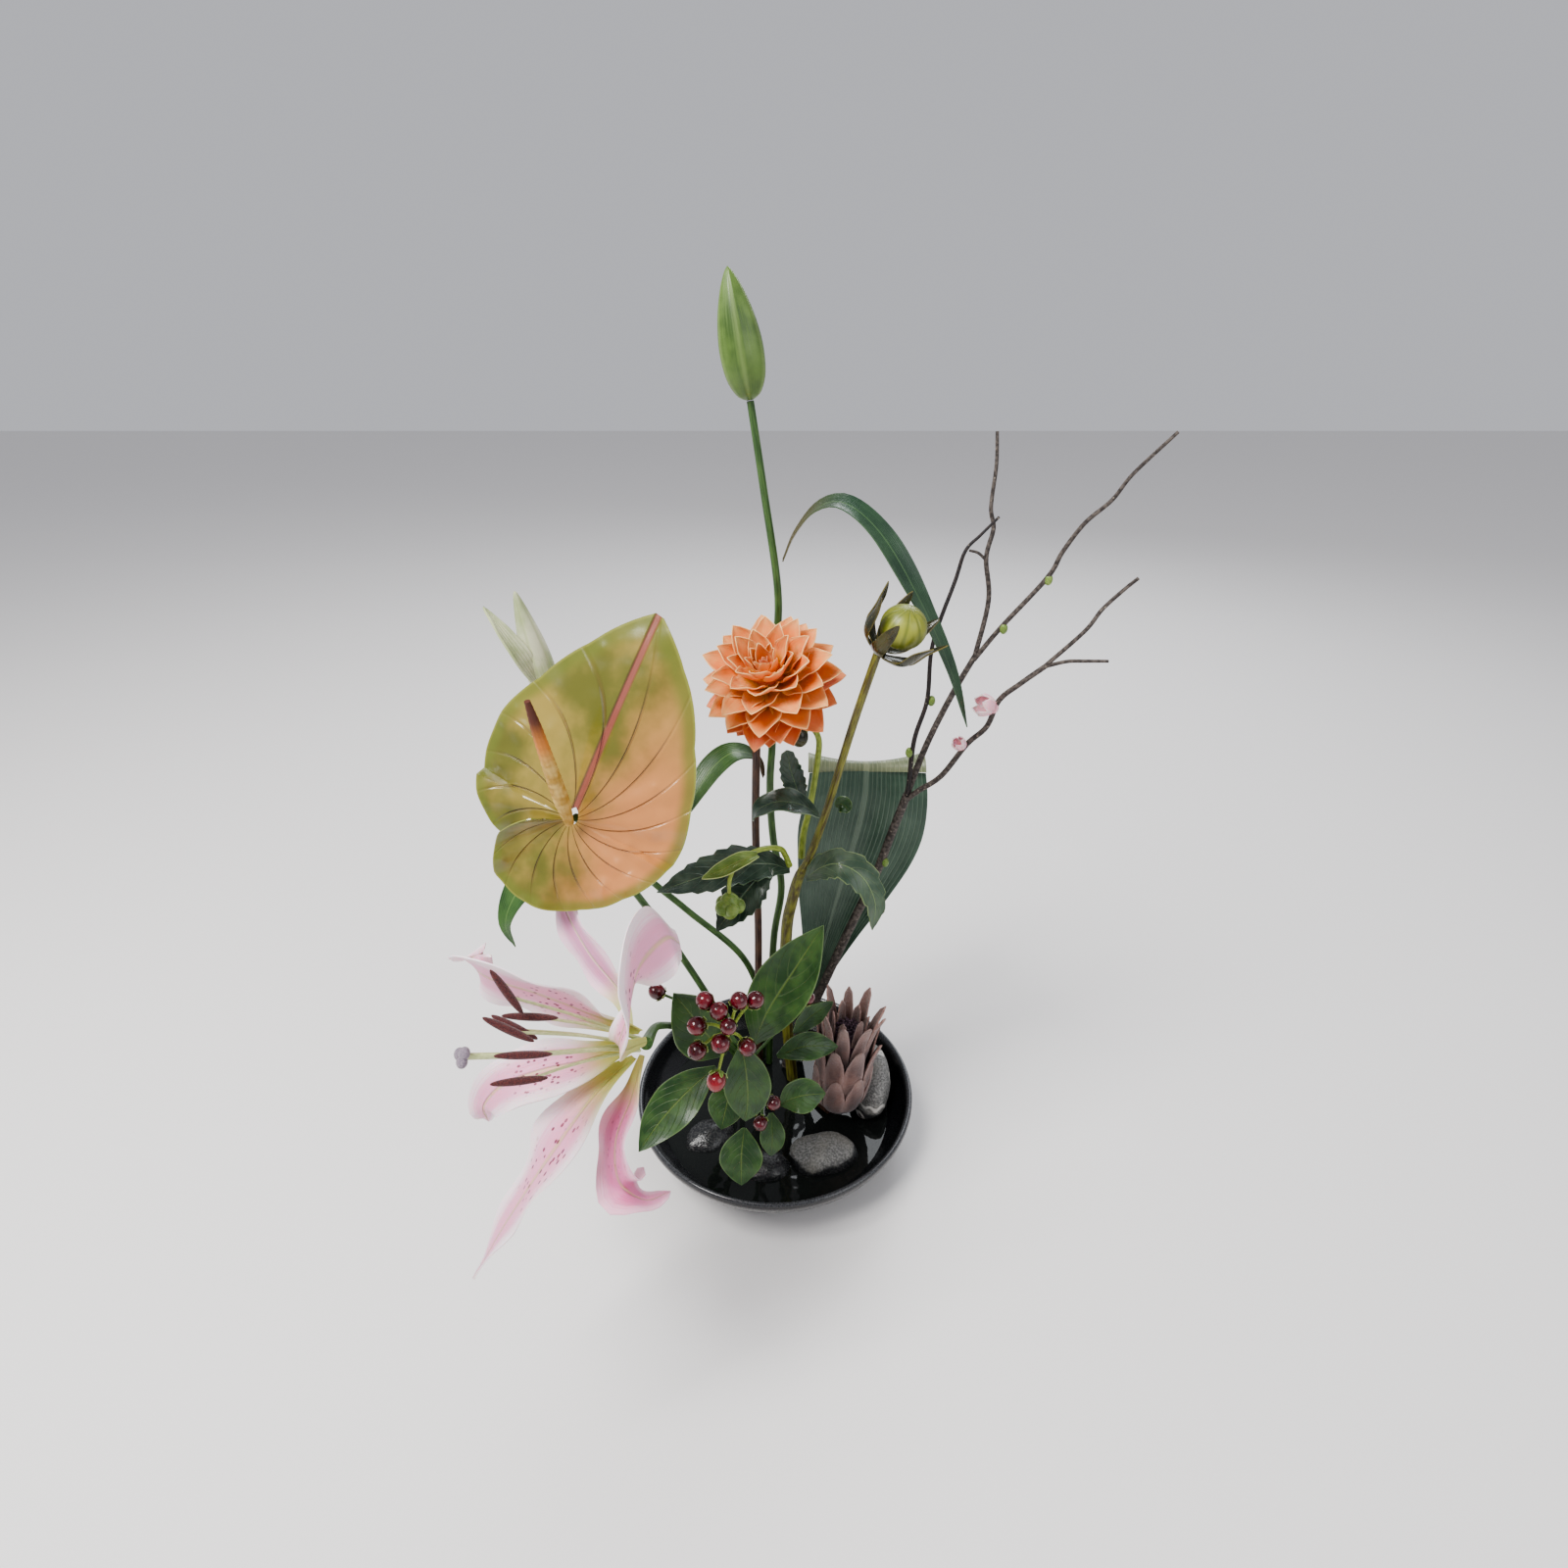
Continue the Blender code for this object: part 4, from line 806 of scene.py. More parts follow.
def make_stones():
    make_stone("stone_front", (38, -49, 23), (27, 18, 13), (0, 4, 12), 0.12, 3.1)
    make_stone("stone_right", (76, 16, 34), (15, 36, 24), (0, 28, 4), 0.10, 7.7)
    make_stone("stone_left", (-52, -30, 20), (20, 15, 10.5), (0, 0, 30), 0.12, 11.3)
    make_stone("stone_dark", (-8, -58, 20), (20, 14, 10), (0, 0, -8), 0.12, 5.9)


# ---------------------------------------------------------------------------------------------
# Lilies


def make_tall_lily():
    route = [(-6, 46, STEM_FOOT), (-4, 45, 90), (-1, 43, 160), (5, 42, 209), (-1, 41, 253)]
    route += [(-3, 40, 296), (-1, 39, 334), (2, 37, 400), (3, 36, 440), (-5, 32, 500), (-12, 28, 549)]
    finish(tube("lily_tall_stem", route, (2.9, 2.8, 2.7, 2.5, 2.1)))

    tip_way = Vector((-11, 0, 65))
    profile = [(0.0, 66), (2.6, 63), (6.5, 55), (10.5, 42), (12.6, 27), (11.5, 13), (7.5, 4),
        (2.8, 0.6), (0.0, 0.4)]
    finish(turned("lily_tall_bud", profile, (-12, 28, 549.3), tip_way, ribs=0.035))

    spine = [(6.5, 35.5, 458), (14, 28, 476), (27, 17, 493), (43, 10, 496), (64, 4, 479)]
    spine += [(86, -4, 445), (107, -8, 404), (121, -12, 366)]
    widths = (3, 10, 15, 17.5, 18, 17, 11, 1.6)
    facing = ((-0.7, -0.2, 0.7), (-0.3, -0.3, 1), (0.2, -0.3, 1), (0.7, -0.5, 0.6))
    leaf = blade("lily_leaf_right", spine, widths, facing, (0.5, 0.3, 0.5), rows=12)
    finish(leaf)

    spine = [(-7.5, 38, 306), (-10, 33, 320), (-18, 24, 331), (-29, 14, 335), (-40, 5, 329)]
    spine += [(-50, -6, 317), (-62, -18, 298)]
    widths = (3, 9, 16, 19, 18, 12, 1.6)
    leaf = blade("lily_leaf_left", spine, widths, ((0.3, -0.5, 1), (-0.5, -0.5, 1)), (0.4,), rows=10)
    finish(leaf)


def make_side_lily():
    route = [(-12, 53, STEM_FOOT), (-11, 50, 80), (-26, 43, 140), (-68, 35, 193), (-99, 28, 234)]
    route += [(-128, 25, 290), (-143, 23, 352)]
    finish(tube("lily_side_stem", route, (2.7, 2.5, 2.3)))

    profile = [(0.0, 92), (1.5, 90), (4.5, 78), (8.0, 60), (9.6, 42), (8.6, 22), (5.0, 6),
        (2.4, 0.6), (0.0, 0.5)]
    bud = turned("bud", profile, (-143, 23, 352), (-16, -1, 90))
    peel = [(-150, 14, 385), (-157, 10, 404), (-167, 12, 420), (-178, 17, 434)]
    petal = blade("peel", peel, (8, 14, 10, 1.6), ((1, -0.8, 0.5),), (0.6,), 6, 2, 1.4)
    finish(join("lily_opening_bud", bud, [petal]))

    spine = [(-113, 23, 256), (-132, 18, 262), (-160, 9, 255), (-180, -2, 236), (-189, -12, 216),
        (-183, -18, 199)]
    widths = (3, 16, 24, 24, 16, 1.6)
    leaf = blade("lily_side_leaf", spine, widths, ((0, -0.8, 0.7), (-0.6, -0.7, 0.2)), (0.4,), rows=9)
    finish(leaf)


def around_throat(angle, radius, forward):
    """A point on a ring round the lily's axis; forward is the distance along it from the throat."""
    across = LILY_AXIS.orthogonal().normalized()
    spin = Matrix.Rotation(math.radians(angle), 3, LILY_AXIS)
    return LILY_THROAT + spin @ across * radius + LILY_AXIS * forward


def make_lily_stem():
    back = LILY_THROAT - LILY_AXIS * 6
    route = [(-22, 20, STEM_FOOT), (-34, 2, 80), (-52, -32, 130), (-66, -62, 166), (-70, -88, 192),
        (-69, -122, 222)]
    route.append(back)
    finish(tube("lily_flower_stem", route, (2.8, 2.4, 2.3, 2.3, 2.4, 3.6)))


def angle_round_throat(point):
    """The angle of a point round the lily's axis, in degrees."""
    across = LILY_AXIS.orthogonal().normalized()
    reach = Vector(point) - LILY_THROAT
    return math.degrees(math.atan2(reach.dot(LILY_AXIS.cross(across)), reach.dot(across)))


def ring_starts(ends, radius):
    """Evenly spaced angles round the throat, in the order in which the ends lie round it."""
    angles = [angle_round_throat(end) for end in ends]
    order = sorted(range(len(ends)), key=lambda k: angles[k])
    step = 360 / len(ends)
    first = sum(angles[k] - step * place for place, k in enumerate(order)) / len(ends)
    starts = {k: first + step * place for place, k in enumerate(order)}
    return [around_throat(starts[k], radius, 0.0) for k in range(len(ends))]


def make_tepals():
    """Six tepals; each route goes on from the ring round the throat."""
    inward = LILY_THROAT + LILY_AXIS * 60
    tepals = [
        (
            [(-91, -157, 264), (-116, -165, 286), (-140, -168, 300), (-150, -160, 304), (-148, -150, 300)],
            (5, 22, 34, 38, 32, 12),
        ),
        (
            [(-82, -138, 262), (-102, -119, 275), (-120, -93, 287), (-130, -68, 296)],
            (5, 18, 26, 22, 4),
        ),
        (
            [(-76, -178, 262), (-70, -177, 284), (-66, -162, 301), (-55, -140, 302), (-50, -127, 288)],
            (5, 12, 22, 42, 40, 16),
        ),
        (
            [(-98, -168, 243), (-120, -173, 241), (-140, -176, 234), (-152, -177, 220), (-153, -174, 205)],
            (5, 20, 30, 30, 22, 5),
        ),
        (
            [(-92, -179, 230), (-113, -200, 209), (-135, -213, 178), (-149, -220, 155), (-157, -221, 141)],
            (5, 26, 38, 34, 18, 5),
        ),
        (
            [(-73, -176, 226), (-80, -192, 212), (-78, -203, 194), (-66, -203, 179), (-54, -194, 174)],
            (5, 16, 27, 29, 24, 6),
        ),
    ]
    starts = ring_starts([points[1] for points, _ in tepals], 7.5)
    for number, ((points, widths), start) in enumerate(zip(tepals, starts), start=1):
        spine = [start] + points
        middle = Vector(points[1])
        facing = (inward - start, inward - middle, LILY_AXIS)
        leaf = blade(f"lily_tepal_{number}", spine, widths, facing, (0.9, 0.3, 0.2), 10, 4, PETAL_THICKNESS)
        finish(leaf)


def make_stamens():
    """Six stamens: a filament with an anther lying across its end."""
    stamens = [
        ((-110, -192, 296), (-0.95, -0.18, 0.22)),
        ((-119, -196, 312), (-0.5, 0.2, 0.8)),
        ((-117, -204, 298), (-0.85, 0.1, 0.45)),
        ((-110, -208, 288), (-0.95, -0.2, 0.15)),
        ((-113, -211, 275), (-0.95, -0.25, 0.1)),
        ((-120, -190, 286), (-0.9, 0.3, 0.3)),
    ]
    starts = ring_starts([end for end, _ in stamens], 3.7)
    for number, ((end, lie), start) in enumerate(zip(stamens, starts), start=1):
        middle = (start + Vector(end)) / 2 + Vector((0, 0, 2))
        filament = tube(f"filament_{number}", [start, middle, end], (0.9, 0.8, 0.7))
        place = Vector(end) + Vector(lie) * 3
        anther = ball(f"anther_{number}", place, 1.0, (2.1, 1.8, 13.0), lie)
        finish(join(f"lily_stamen_{number}", filament, [anther]))


def make_pistil():
    stigma = (-139, -213, 292)
    start = LILY_THROAT + LILY_AXIS * 0.5
    route = [start, (-92, -179, 262), (-115, -199, 279), stigma]
    style = tube("style", route, (1.5, 1.3, 1.6))
    lobes = []
    for lobe in range(3):
        spin = Matrix.Rotation(math.radians(120 * lobe), 3, LILY_AXIS)
        push = spin @ LILY_AXIS.orthogonal().normalized() * 2.4
        lobes.append(ball(f"lobe_{lobe}", Vector(stigma) + push, 3.0, (1, 1, 0.8), LILY_AXIS))
    finish(join("lily_pistil", style, lobes))


# ---------------------------------------------------------------------------------------------
# Anthurium


def spathe_reach(angle):
    """Distance in mm from the notch to the spathe's edge, at an angle in degrees from its tip."""
    stations = (
        (-130, 42), (-100, 57), (-61, 72), (-37, 80), (-17, 98), (0, 124), (14, 104), (36, 80),
        (60, 68), (90, 62), (120, 53), (150, 51), (180, 54), (210, 53), (235, 38), (250, 18),
    )
    for (a, low), (b, high) in zip(stations, stations[1:]):
        if angle <= b:
            return low + (high - low) * (angle - a) / (b - a)
    return stations[-1][1]


def make_spathe():
    """A heart with its lower lobe lapping in front of the left one."""
    first, last = -130.0, 250.0
    columns, rows = 156, 32
    up = SPATHE_TIP_WAY
    facing = (SPATHE_FACING - up * SPATHE_FACING.dot(up)).normalized()
    right = up.cross(facing)
    flat = []

    def place(u, v):
        angle = first + (last - first) * u
        share = 0.06 + 0.94 * v
        reach = spathe_reach(angle) * share
        turn = math.radians(angle)
        sideways = math.sin(turn) * reach
        upward = math.cos(turn) * reach
        lap = max(0.0, (angle - 150) / 100) * 9 - max(0.0, (-angle - 60) / 70) * 5
        height = 4 * share - 0.0022 * sideways**2 * (upward > 0) - 0.0006 * upward**2 + lap * share
        height += 0.5 * share * math.sin(0.3 * angle) + 0.8 * share * math.sin(0.11 * angle + 1)
        flat.append((0.5 + sideways / 160, 0.5 + upward / 160))
        return (SPATHE_NOTCH + right * sideways + up * upward + facing * height) * MM

    spathe = surface("anthurium_spathe", columns, rows, place)
    layer = spathe.data.uv_layers.new(name="flat")
    for loop in spathe.data.loops:
        layer.data[loop.index].uv = flat[loop.vertex_index]
    finish(thickened(spathe, LEAF_THICKNESS))


def lattice(u, t):
    """The spadix's diagonal rows of small bumps."""
    across = math.cos(2 * math.pi * (5 * u + 11 * t))
    back = math.cos(2 * math.pi * (5 * u - 11 * t))
    return 1.0 + 0.07 * across * back


def make_anthurium():
    route = [(-24, 34, STEM_FOOT), (-48, 18, 110), (-74, 2, 185), (-83, -5, 211), (-98, -24, 259)]
    route += [(-107, -58, 315), (-111, -79, 340)]
    finish(tube("anthurium_stem", route, (2.7, 2.6, 2.3)))
    make_spathe()
    spadix = tube("anthurium_spadix", [(-110, -96, 346), (-114, -104, 384), (-118, -112, 424)],
        (2.5, 4.2, 4.0, 3.5, 2.9, 1.5), 42, 40, lattice)
    finish(spadix)


# ---------------------------------------------------------------------------------------------
# Dahlia


def bloom_point(angle, out, up):
    """A point of the bloom: angle round its axis, distance out from it, and height along it."""
    across = BLOOM_AXIS.orthogonal().normalized()
    spin = Matrix.Rotation(math.radians(angle), 3, BLOOM_AXIS)
    return BLOOM_CENTRE + spin @ across * out + BLOOM_AXIS * up


def floret(name, angle, tilt, length, width, cup):
    """One pointed floret, leaving the heart at angle and rising at tilt degrees."""
    rise = math.radians(tilt)
    spine = []
    for share in (0.2, 0.5, 0.8, 1.0):
        lift = rise + 0.25 * (share - 0.5)
        reach = length * share
        spine.append(bloom_point(angle, reach * math.cos(lift), reach * math.sin(lift) - 6))
    spine_middle = spine[1] - BLOOM_CENTRE
    facing = BLOOM_AXIS * math.cos(rise) * 60 - spine_middle * math.sin(rise)
    widths = (width * 0.5, width, width * 0.85, 2.5)
    return blade(name, spine, widths, (facing,), (cup,), 3, 2, FLORET_THICKNESS)


def make_bloom():
    rings = [
        (11, -42, 0.93, 25, 0.6, 5),
        (12, -24, 0.98, 26, 0.6, 17),
        (12, -5, 0.98, 25, 0.7, 3),
        (11, 13, 0.95, 24, 0.8, 14),
        (10, 31, 0.87, 22, 0.9, 0),
        (9, 48, 0.76, 18, 1.0, 11),
        (8, 64, 0.60, 12, 1.1, 4),
        (6, 79, 0.46, 7, 1.1, 20),
    ]
    florets = []
    for ring, (count, tilt, share, width, cup, start) in enumerate(rings):
        for k in range(count):
            angle = start + 360 * k / count + 4 * math.sin(2.3 * k + ring)
            length = BLOOM_RADIUS * share * (1 + 0.04 * math.sin(3.1 * k + 1.7 * ring))
            florets.append(floret(f"floret_{ring}_{k}", angle, tilt + 4 * math.sin(1.9 * k + ring),
                length, width, cup))
    heart = ball("heart", BLOOM_CENTRE - BLOOM_AXIS * 6, 13.0)
    calyx = tube("calyx", [(-4, -4, 392), (-9, 2, 368), (-11, 7, 347)], (3.4, 2.7))
    finish(join("dahlia_bloom", heart, florets + [calyx]))


def make_dahlia():
    route = [(-14, 43, STEM_FOOT), (-14, 40, 100), (-13, 35, 170), (-13, 28, 225), (-13, 20, 280),
        (-11, 8, 346)]
    finish(tube("dahlia_stem", route, (3.1, 2.9, 2.8, 2.7)))
    make_bloom()


def make_dahlia_bud():
    route = [(14, 28, STEM_FOOT), (8, 29, 110), (9, 28, 178), (13, 25, 208), (18, 22, 232)]
    route += [(25, 18, 250), (36, 7, 296), (50, -11, 367), (61, -27, 419)]
    stem = tube("dahlia_bud_stem", route, (4.6, 4.5, 4.4, 4.2, 3.2, 2.7, 2.6, 2.5))
    finish(stem)

    centre = Vector((74, -34, 437))
    finish(ball("dahlia_bud", centre, 13.5, (1, 1, 0.92), (0.2, -0.4, 1)))

    base = Vector((62.2, -28.6, 421.5))
    cup = ball("cup", base, 4.2, (1, 1, 0.7), (0.5, -0.3, 0.8))
    sepals = []
    way = (centre - base).normalized()
    across = way.orthogonal().normalized()
    for k in range(7):
        out = Matrix.Rotation(math.radians(360 * k / 7 + 6 * math.sin(3 * k)), 3, way) @ across
        spine = []
        for forward, away in ((-0.3 * k, 1.6), (1.5, 10), (8, 18.5), (20, 21.5), (30, 25)):
            spine.append(base + way * forward + out * away)
        sepal = blade(f"sepal_{k}", spine, (1.5, 9, 9, 7, 1.4), (out * -1 + way * 0.4,), (0.4,), 5, 2)
        sepals.append(sepal)
    finish(join("dahlia_bud_sepals", cup, sepals))


def make_dahlia_leaves():
    left = [(11, 20, 239), (-4, 11, 250), (-26, 2, 254), (-52, -8, 251), (-80, -17, 245)]
    body = blade("left", left, (5, 26, 32, 24, 1.6), ((0, -0.6, 0.8),), (0.25,), 8, 4)
    lobe = [(-4, 9, 249), (-16, -2, 240), (-29, -13, 228), (-40, -21, 215)]
    second = blade("lobe", lobe, (10, 32, 28, 1.6), ((-0.3, -0.8, 0.5),), (0.2,), 6, 4)
    finish(join("dahlia_leaf_left", body, [second]))

    spine = [(23, 16, 234), (33, 9, 248), (46, 3, 255), (62, -2, 247), (71, -6, 228), (70, -8, 206)]
    widths = (4, 20, 25, 24, 18, 1.6)
    leaf = blade("dahlia_leaf_right", spine, widths, ((-0.2, -0.8, 0.6), (0.5, -0.6, 0.6)), (0.4,), 10)
    finish(leaf)

    spine = [(20, 6, 300), (15, 6, 315), (11, 6, 329), (9, 5, 342)]
    leaf = blade("dahlia_leaf_upper", spine, (4, 16, 17, 8), ((0, -1, 0.3),), (0.3,), 6)
    finish(leaf)

    spine = [(30, -2, 297), (18, -7, 308), (2, -9, 311), (-10, -7, 304), (-14, -4, 294)]
    leaf = blade("dahlia_leaf_curled", spine, (5, 17, 20, 15, 3),
        ((0.2, -0.4, 1), (-0.6, -0.4, 0.8)), (0.5,), 8)
    finish(leaf)

    spine = [(41.5, 2, 303), (46, -1, 305), (51, -3, 301)]
    leaf = blade("dahlia_leaf_small", spine, (3, 12, 4), ((0.2, -0.9, 0.3),), (0.5,), 4)
    finish(leaf)


def make_dahlia_shoots():
    shoot = tube("shoot", [(11, 15, 246), (8, 11, 257), (4, 4, 267), (-8, -6, 273), (-22, -16, 271),
        (-29, -23, 261), (-30, -24, 243)], (2.2, 2.0, 1.6, 1.2), 12)
    cluster = []
    centre = Vector((-30, -24, 236))
    for k in range(5):
        angle = math.radians(72 * k)
        spot = centre + Vector((6 * math.cos(angle), 5 * math.sin(angle), 3))
        cluster.append(ball(f"budlet_{k}", spot, 4.8, (1, 1, 1.2)))
    cluster.append(ball("budlet_core", centre + Vector((0, 0, 3)), 7.0, (1, 1, 1.5)))
    finish(join("dahlia_side_shoot", shoot, cluster))

    spine = [(-11, -13, 273), (-21, -21, 274), (-34, -24, 268), (-48, -24, 261)]
    leaf = blade("dahlia_shoot_leaf", spine, (5, 12, 11, 1.4), ((0, -0.7, 0.7),), (0.9,), 7)
    finish(leaf)

    stem = tube("second", [(19.5, 28, 245), (21, 24, 268), (25, 19, 292), (29, 14, 327),
        (30, 12, 346), (25, 10, 356), (20, 9, 354)], (2.6, 2.3, 2.0, 1.8))
    bud = ball("second_bud", (17, 9, 350), 6.0, (1, 1, 1.2))
    finish(join("dahlia_second_shoot", stem, [bud]))


# ---------------------------------------------------------------------------------------------
# Aspidistra leaf and flowering branch


def make_aspidistra():
    spine = [(20, 48, STEM_FOOT), (28, 49, 85), (38, 51, 140), (50, 55, 195), (61, 58, 240),
        (67, 59, 275), (68, 64, 297)]
    widths = (7, 8, 22, 48, 78, 98, 88)
    leaf = blade("aspidistra_leaf", spine, widths, ((0.1, -1, 0.1),), (1.0, 0.7, 0.3), 14, 8)
    fold = [(68, 64, 296.5), (68, 66, 300), (68, 72, 301), (68, 77, 293), (68, 79, 279)]
    flap = blade("aspidistra_fold", fold, (88, 87, 85, 70, 44),
        ((0, -1, 0.4), (0, 0, 1), (0, 1, 0.3)), (0.3,), 4, 8)
    finish(join("aspidistra_leaf", leaf, [flap]))


def make_branch():
    fork = (94, 32, 294)
    knee = (136, 46, 395)
    crook = (165, -14, 408)
    trunk = [(9, 41, STEM_FOOT + 1), (23, 40, 70), (37, 39, 110), (57, 38, 169), (75, 36, 222),
        (86, 34, 264), fork]
    body = tube("trunk", trunk, (4.0, 3.6, 3.2, 3.0), 8)
    twigs = [
        ([(88, 33.5, 272), fork, (95, 26, 339), (101, 23, 370), (101, 20, 409), (113, 28, 447),
            (118, 30, 465), (127, 33, 474), (138, 37, 484)], (1.9, 1.5, 1.2, 0.8)),
        ([(92, 32.5, 287), (105, 35, 331), (121, 41, 367), knee], (2.4, 2.1, 1.9)),
        ([(134, 45, 390), (140, 48, 429), (135, 46, 457), (138, 48, 475), (135, 48, 488),
            (136, 50, 512), (135, 53, 531)], (1.7, 1.4, 1.0)),
        ([(134, 45, 390), (148, 41, 413), (171, 32, 448), (177, 28, 465), (186, 23, 483),
            (198, 18, 497), (206, 14, 512), (223, 5, 535)], (1.7, 1.4, 1.0)),
        ([(91, 33, 287), (101, 29, 299), (115, 23, 314), (128, 14, 342), (138, 7, 358),
            (142, 0, 379), (152, -7, 393), crook], (2.0, 1.8, 1.6)),
        ([(163, -13, 406), (181, -20, 430), (188, -23, 444), (197, -26, 456), (203, -28, 463)], (1.3, 1.0)),
        ([(163, -13, 406), (174, -18, 411), (184, -20, 412), (197, -23, 413)], (1.2, 0.9)),
        ([(135, 46, 456), (129, 43, 461), (123, 41, 463)], (1.0, 0.8)),
    ]
    pieces = []
    for number, (route, radii) in enumerate(twigs):
        pieces.append(tube(f"twig_{number}", route, radii, 8))
    for number, spot in enumerate(((172, 32, 447), (150, 40, 413), (92.5, 27, 330), (104, 24, 369),
        (82, 33, 237))):
        pieces.append(ball(f"twig_bud_{number}", spot, 2.6, (1, 1, 1.4)))
    finish(join("branch", body, pieces))


def make_blossom(name, centre, way, radius):
    """A small five-petalled blossom, half open."""
    way = Vector(way).normalized()
    across = way.orthogonal().normalized()
    petals = []
    for k in range(5):
        out = Matrix.Rotation(math.radians(72 * k + 5 * math.sin(3 * k)), 3, way) @ across
        spine = []
        sink = 0.05 * k
        for forward, away in ((-sink, 0.2), (0.35 - sink, 0.7), (1.1, 1.0), (1.7, 0.8)):
            spine.append(Vector(centre) + (way * forward + out * away) * radius)
        petal = blade(f"{name}_petal_{k}", spine, (1.2, radius, radius * 1.2, 1.6),
            (way * 0.4 - out,), (0.6,), 3, 2)
        petals.append(petal)
    heart = ball(name + "_heart", centre, radius * 0.45)
    finish(join(name, heart, petals))


def make_blossoms():
    make_blossom("blossom_upper", (137, -8, 377), (-1, -0.2, 0.4), 7.0)
    make_blossom("blossom_lower", (124, 8, 343), (-0.7, -0.3, 0.8), 4.5)


# ---------------------------------------------------------------------------------------------
# Hypericum and protea


def berry(name, centre, radius, way):
    """A berry with its dried tip, held in five small sepals."""
    way = way.normalized()
    across = way.orthogonal().normalized()
    pieces = [ball(name, centre, radius, (1, 1, 1.08), way, 0.012)]
    pieces.append(ball("tip_" + name, centre + way * radius * 1.07, 0.55, (1, 1, 1.6), way))
    for k in range(5):
        out = Matrix.Rotation(math.radians(72 * k + 11 * math.sin(centre.x)), 3, way) @ across
        spine = []
        for forward, away in ((-1.12, 0.10), (-1.02, 0.50), (-0.68, 0.90), (-0.50, 1.08)):
            spine.append(centre + (way * forward + out * away) * radius)
        pieces.append(blade("calyx_" + name, spine, (1.2, 3.2, 3.0, 0.6), (way * 0.7 + out,),
            (0.4,), 2, 1, 0.4))
    return pieces


def make_hypericum():
    node = (-20, -58, 140)
    crown = (-28, -90, 188)
    stem = tube("sprig", [(-14, 6, STEM_FOOT), (-14, -14, 70), (-17, -38, 112), node,
        (-25, -78, 168), crown], (2.2, 2.0, 1.7, 1.3))
    berries = [
        (-42, -93, 217, 5.7),
        (-33, -100, 215, 5.7),
        (-21, -93, 217, 5.6),
        (-11, -88, 213, 5.6),
        (-47, -101, 204, 5.9),
        (-27, -106, 208, 5.2),
        (-47, -106, 188, 5.7),
        (-32, -109, 197, 6.0),
        (-16, -102, 187, 5.5),
        (-36, -106, 162, 6.2),
    ]
    pieces = []
    for number, (x, y, z, radius) in enumerate(berries):
        middle = (Vector(crown) + Vector((x, y, z))) / 2 + Vector((0, 4, 0))
        pieces.append(tube(f"pedicel_{number}", [crown, middle, (x, y, z)], (1.1, 0.9), 8))
        pieces += berry(f"berry_{number}", Vector((x, y, z)), radius, Vector((x, y, z)) - middle)
    strays = [
        ([(-17, -38, 112), (4, -38, 142), (24, -37, 169)], 4.6),
        ([(-18, -46, 122), (-48, -44, 160), (-79, -54, 190)], 5.4),
        ([(-19, -50, 128), (-8, -78, 118), (0, -92, 127)], 4.8),
        ([(-8, -76, 118), (-8, -88, 112), (-9, -97, 113)], 4.8),
    ]
    for number, (route, radius) in enumerate(strays):
        pieces.append(tube(f"side_stalk_{number}", route, (1.2, 0.9)))
        end = Vector(route[-1])
        pieces += berry(f"side_berry_{number}", end, radius, end - Vector(route[-2]))
    finish(join("hypericum_sprig", stem, pieces))


def make_hypericum_leaves():
    """Leaves of the sprig: route from base to tip, widest width, and the way each one faces."""
    leaves = [
        ([(-33, -72, 150), (-42, -77, 170), (-53, -77, 190), (-64, -76, 208)], 40, (0.3, -0.9, 0.4)),
        ([(-14, -60, 148), (-4, -60, 178), (14, -53, 208), (33, -47, 240)], 40, (-0.3, -0.9, 0.3)),
        ([(-40, -67, 134), (-58, -76, 122), (-77, -88, 106), (-92, -101, 90)], 32, (-0.2, -0.8, 0.6)),
        ([(-21, -84, 172), (-18, -90, 155), (-17, -95, 135), (-19, -97, 115)], 32, (0.1, -1, 0.3)),
        ([(-28, -72, 128), (-32, -82, 116), (-36, -91, 100)], 26, (0, -0.9, 0.5)),
        ([(4, -80, 112), (18, -80, 120), (36, -74, 116)], 24, (0, -0.8, 0.6)),
        ([(-2, -82, 106), (-1, -90, 92), (-2, -93, 76)], 18, (0.1, -1, 0.3)),
        ([(-20, -92, 103), (-22, -102, 88), (-22, -111, 69)], 30, (0, -0.9, 0.5)),
        ([(2, -54, 131), (22, -50, 136), (46, -43, 129)], 20, (0, -0.7, 0.7)),
        ([(14, -44, 143), (26, -38, 153), (42, -33, 162)], 16, (0.2, -0.9, 0.4)),
    ]
    for number, (spine, width, facing) in enumerate(leaves, start=1):
        widths = (2.5, width * 0.75, width, width * 0.72, 1.6)
        leaf = blade(f"hypericum_leaf_{number}", spine, widths, (facing,), (0.35,), 8)
        finish(leaf)


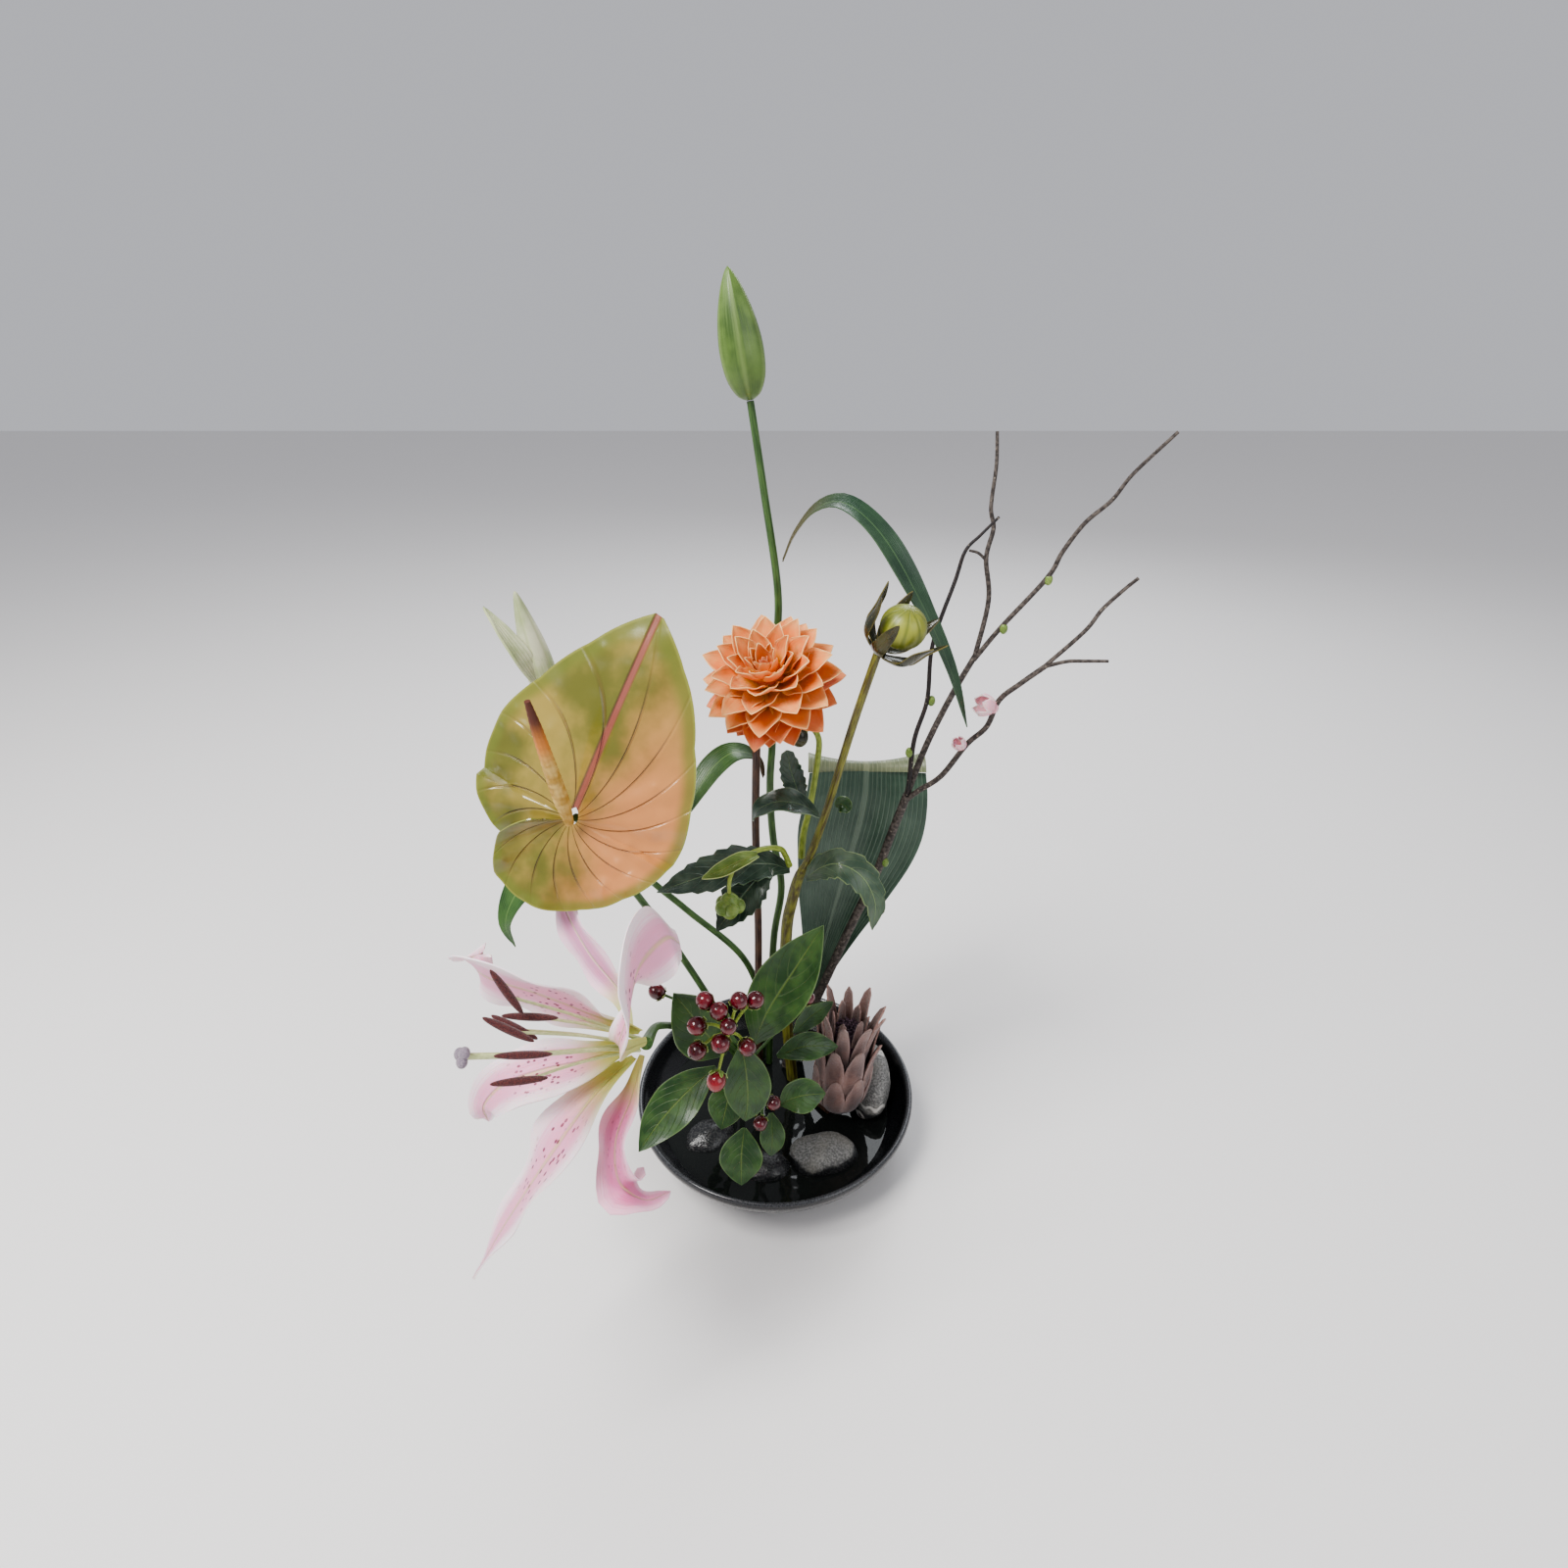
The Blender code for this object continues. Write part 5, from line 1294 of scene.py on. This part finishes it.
def make_protea():
    base = Vector((49, -10, 30))
    way = Vector((0.10, 0.06, 1.0)).normalized()
    finish(tube("protea_stem", [(24, 14, STEM_FOOT), (35, 3, 24), (44, -8, 26)], (4.2, 4.4, 4.4)))

    profile = [(0.0, 78), (8, 77), (14, 70), (17, 52), (19, 32), (17, 14), (10, 3), (0.0, 0.4)]
    body = turned("protea_core", profile, base, way)
    across = way.orthogonal().normalized()
    rings = [
        (7, ((3, 8), (14, 19), (32, 23), (48, 23)), 15, 0),
        (8, ((14, 15), (36, 21), (60, 23), (78, 27)), 14, 20),
        (9, ((26, 16), (56, 16.5), (84, 21), (102, 27)), 10, 8),
        (6, ((34, 14), (60, 13), (80, 13), (96, 14)), 8, 15),
    ]
    bracts = []
    for ring, (count, side_view, width, start) in enumerate(rings):
        for k in range(count):
            turn = start + 360 * k / count + 3 * math.sin(2.1 * k + ring)
            out = Matrix.Rotation(math.radians(turn), 3, way) @ across
            grow = 1 + 0.03 * math.sin(2.7 * k + 1.3 * ring)
            spine = [base + way * height * grow + out * away for height, away in side_view]
            bract = blade(f"bract_{ring}_{k}", spine, (width * 0.8, width * 1.15, width * 1.1, 5.0),
                (out * -1,), (0.7,), 4, 2, 1.3)
            bracts.append(bract)
    for k in range(PROTEA_STYLES):
        turn = Matrix.Rotation(math.radians(GOLDEN_ANGLE * k), 3, way) @ across
        away = 14 * math.sqrt(k / PROTEA_STYLES)
        foot = base + way * (72 - away * 0.5) + turn * away
        top = base + way * (86 - away * 0.35 + 1.5 * math.sin(5 * k)) + turn * away * 0.8
        bracts.append(tube(f"protea_style_{k}", [foot, (foot + top) / 2, top], (0.7, 0.5, 0.9), 8, 6))
    finish(join("protea_head", body, bracts))


# ---------------------------------------------------------------------------------------------
# Kenzan, water, floor, light and camera


def dress_kenzan():
    """The kenzan keeps its CAD shape and gets a metal finish."""
    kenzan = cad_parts["kenzan"]
    kenzan.data.materials.clear()
    kenzan.data.materials.append(look_of("kenzan_lead"))


def make_water():
    def place(u, v):
        angle = 2 * math.pi * u
        radius = WATER_RADIUS * v
        swell = 0.12 * math.sin(7 * v + 2 * math.sin(angle))
        return Vector((radius * math.cos(angle), radius * math.sin(angle), WATER_HEIGHT + swell)) * MM

    water = surface("water", 96, 24, place, around=True)
    shade_smooth(water)
    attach(water, "root")


def make_floor():
    mesh = bpy.data.meshes.new("floor")
    sides = ((-1, -1), (1, -1), (1, 1), (-1, 1))
    corners = [(x * FLOOR_REACH, y * FLOOR_REACH, 0) for x, y in sides]
    mesh.from_pydata(corners, [], [(0, 1, 2, 3)])
    mesh.materials.append(look_of("floor"))
    floor = bpy.data.objects.new("floor", mesh)
    bpy.context.scene.collection.objects.link(floor)


def area_light(name, place, aim, size, power, colour=(1, 1, 1)):
    lamp = bpy.data.lights.new(name, "AREA")
    lamp.size = size
    lamp.energy = power
    lamp.color = colour
    light = bpy.data.objects.new(name, lamp)
    light.location = place
    light.rotation_euler = (Vector(aim) - Vector(place)).to_track_quat("-Z", "Y").to_euler()
    bpy.context.scene.collection.objects.link(light)


def light_studio():
    world = bpy.data.worlds.new("studio")
    world.use_nodes = True
    background = world.node_tree.nodes["Background"]
    background.inputs["Color"].default_value = (0.93, 0.94, 1.0, 1.0)
    background.inputs["Strength"].default_value = 0.5
    bpy.context.scene.world = world
    bpy.context.scene.view_settings.look = "AgX - Medium High Contrast"
    middle = (0.0, 0.0, 0.25)
    area_light("key_light", (-0.9, -0.7, 1.9), middle, 0.9, 50.0, (1.0, 0.985, 0.96))
    area_light("fill_light", (1.4, -1.1, 1.2), middle, 1.2, 9.0)
    area_light("back_light", (0.5, 1.5, 1.5), middle, 0.9, 14.0, (0.94, 0.97, 1.0))


def make_camera():
    camera = bpy.data.cameras.new("camera")
    camera.lens = CAMERA_LENS
    camera.sensor_width = SENSOR_WIDTH
    camera.clip_start = 0.01
    thing = bpy.data.objects.new("camera", camera)
    thing.location = CAMERA_PLACE
    thing.rotation_euler = (CAMERA_TILT, 0.0, 0.0)
    bpy.context.scene.collection.objects.link(thing)
    bpy.context.scene.camera = thing


def main():
    make_camera()
    light_studio()
    make_floor()
    make_bowl()
    dress_kenzan()
    make_water()
    make_stones()
    make_tall_lily()
    make_side_lily()
    make_lily_stem()
    make_tepals()
    make_stamens()
    make_pistil()
    make_anthurium()
    make_dahlia()
    make_dahlia_bud()
    make_dahlia_leaves()
    make_dahlia_shoots()
    make_aspidistra()
    make_branch()
    make_blossoms()
    make_hypericum()
    make_hypericum_leaves()
    make_protea()


main()
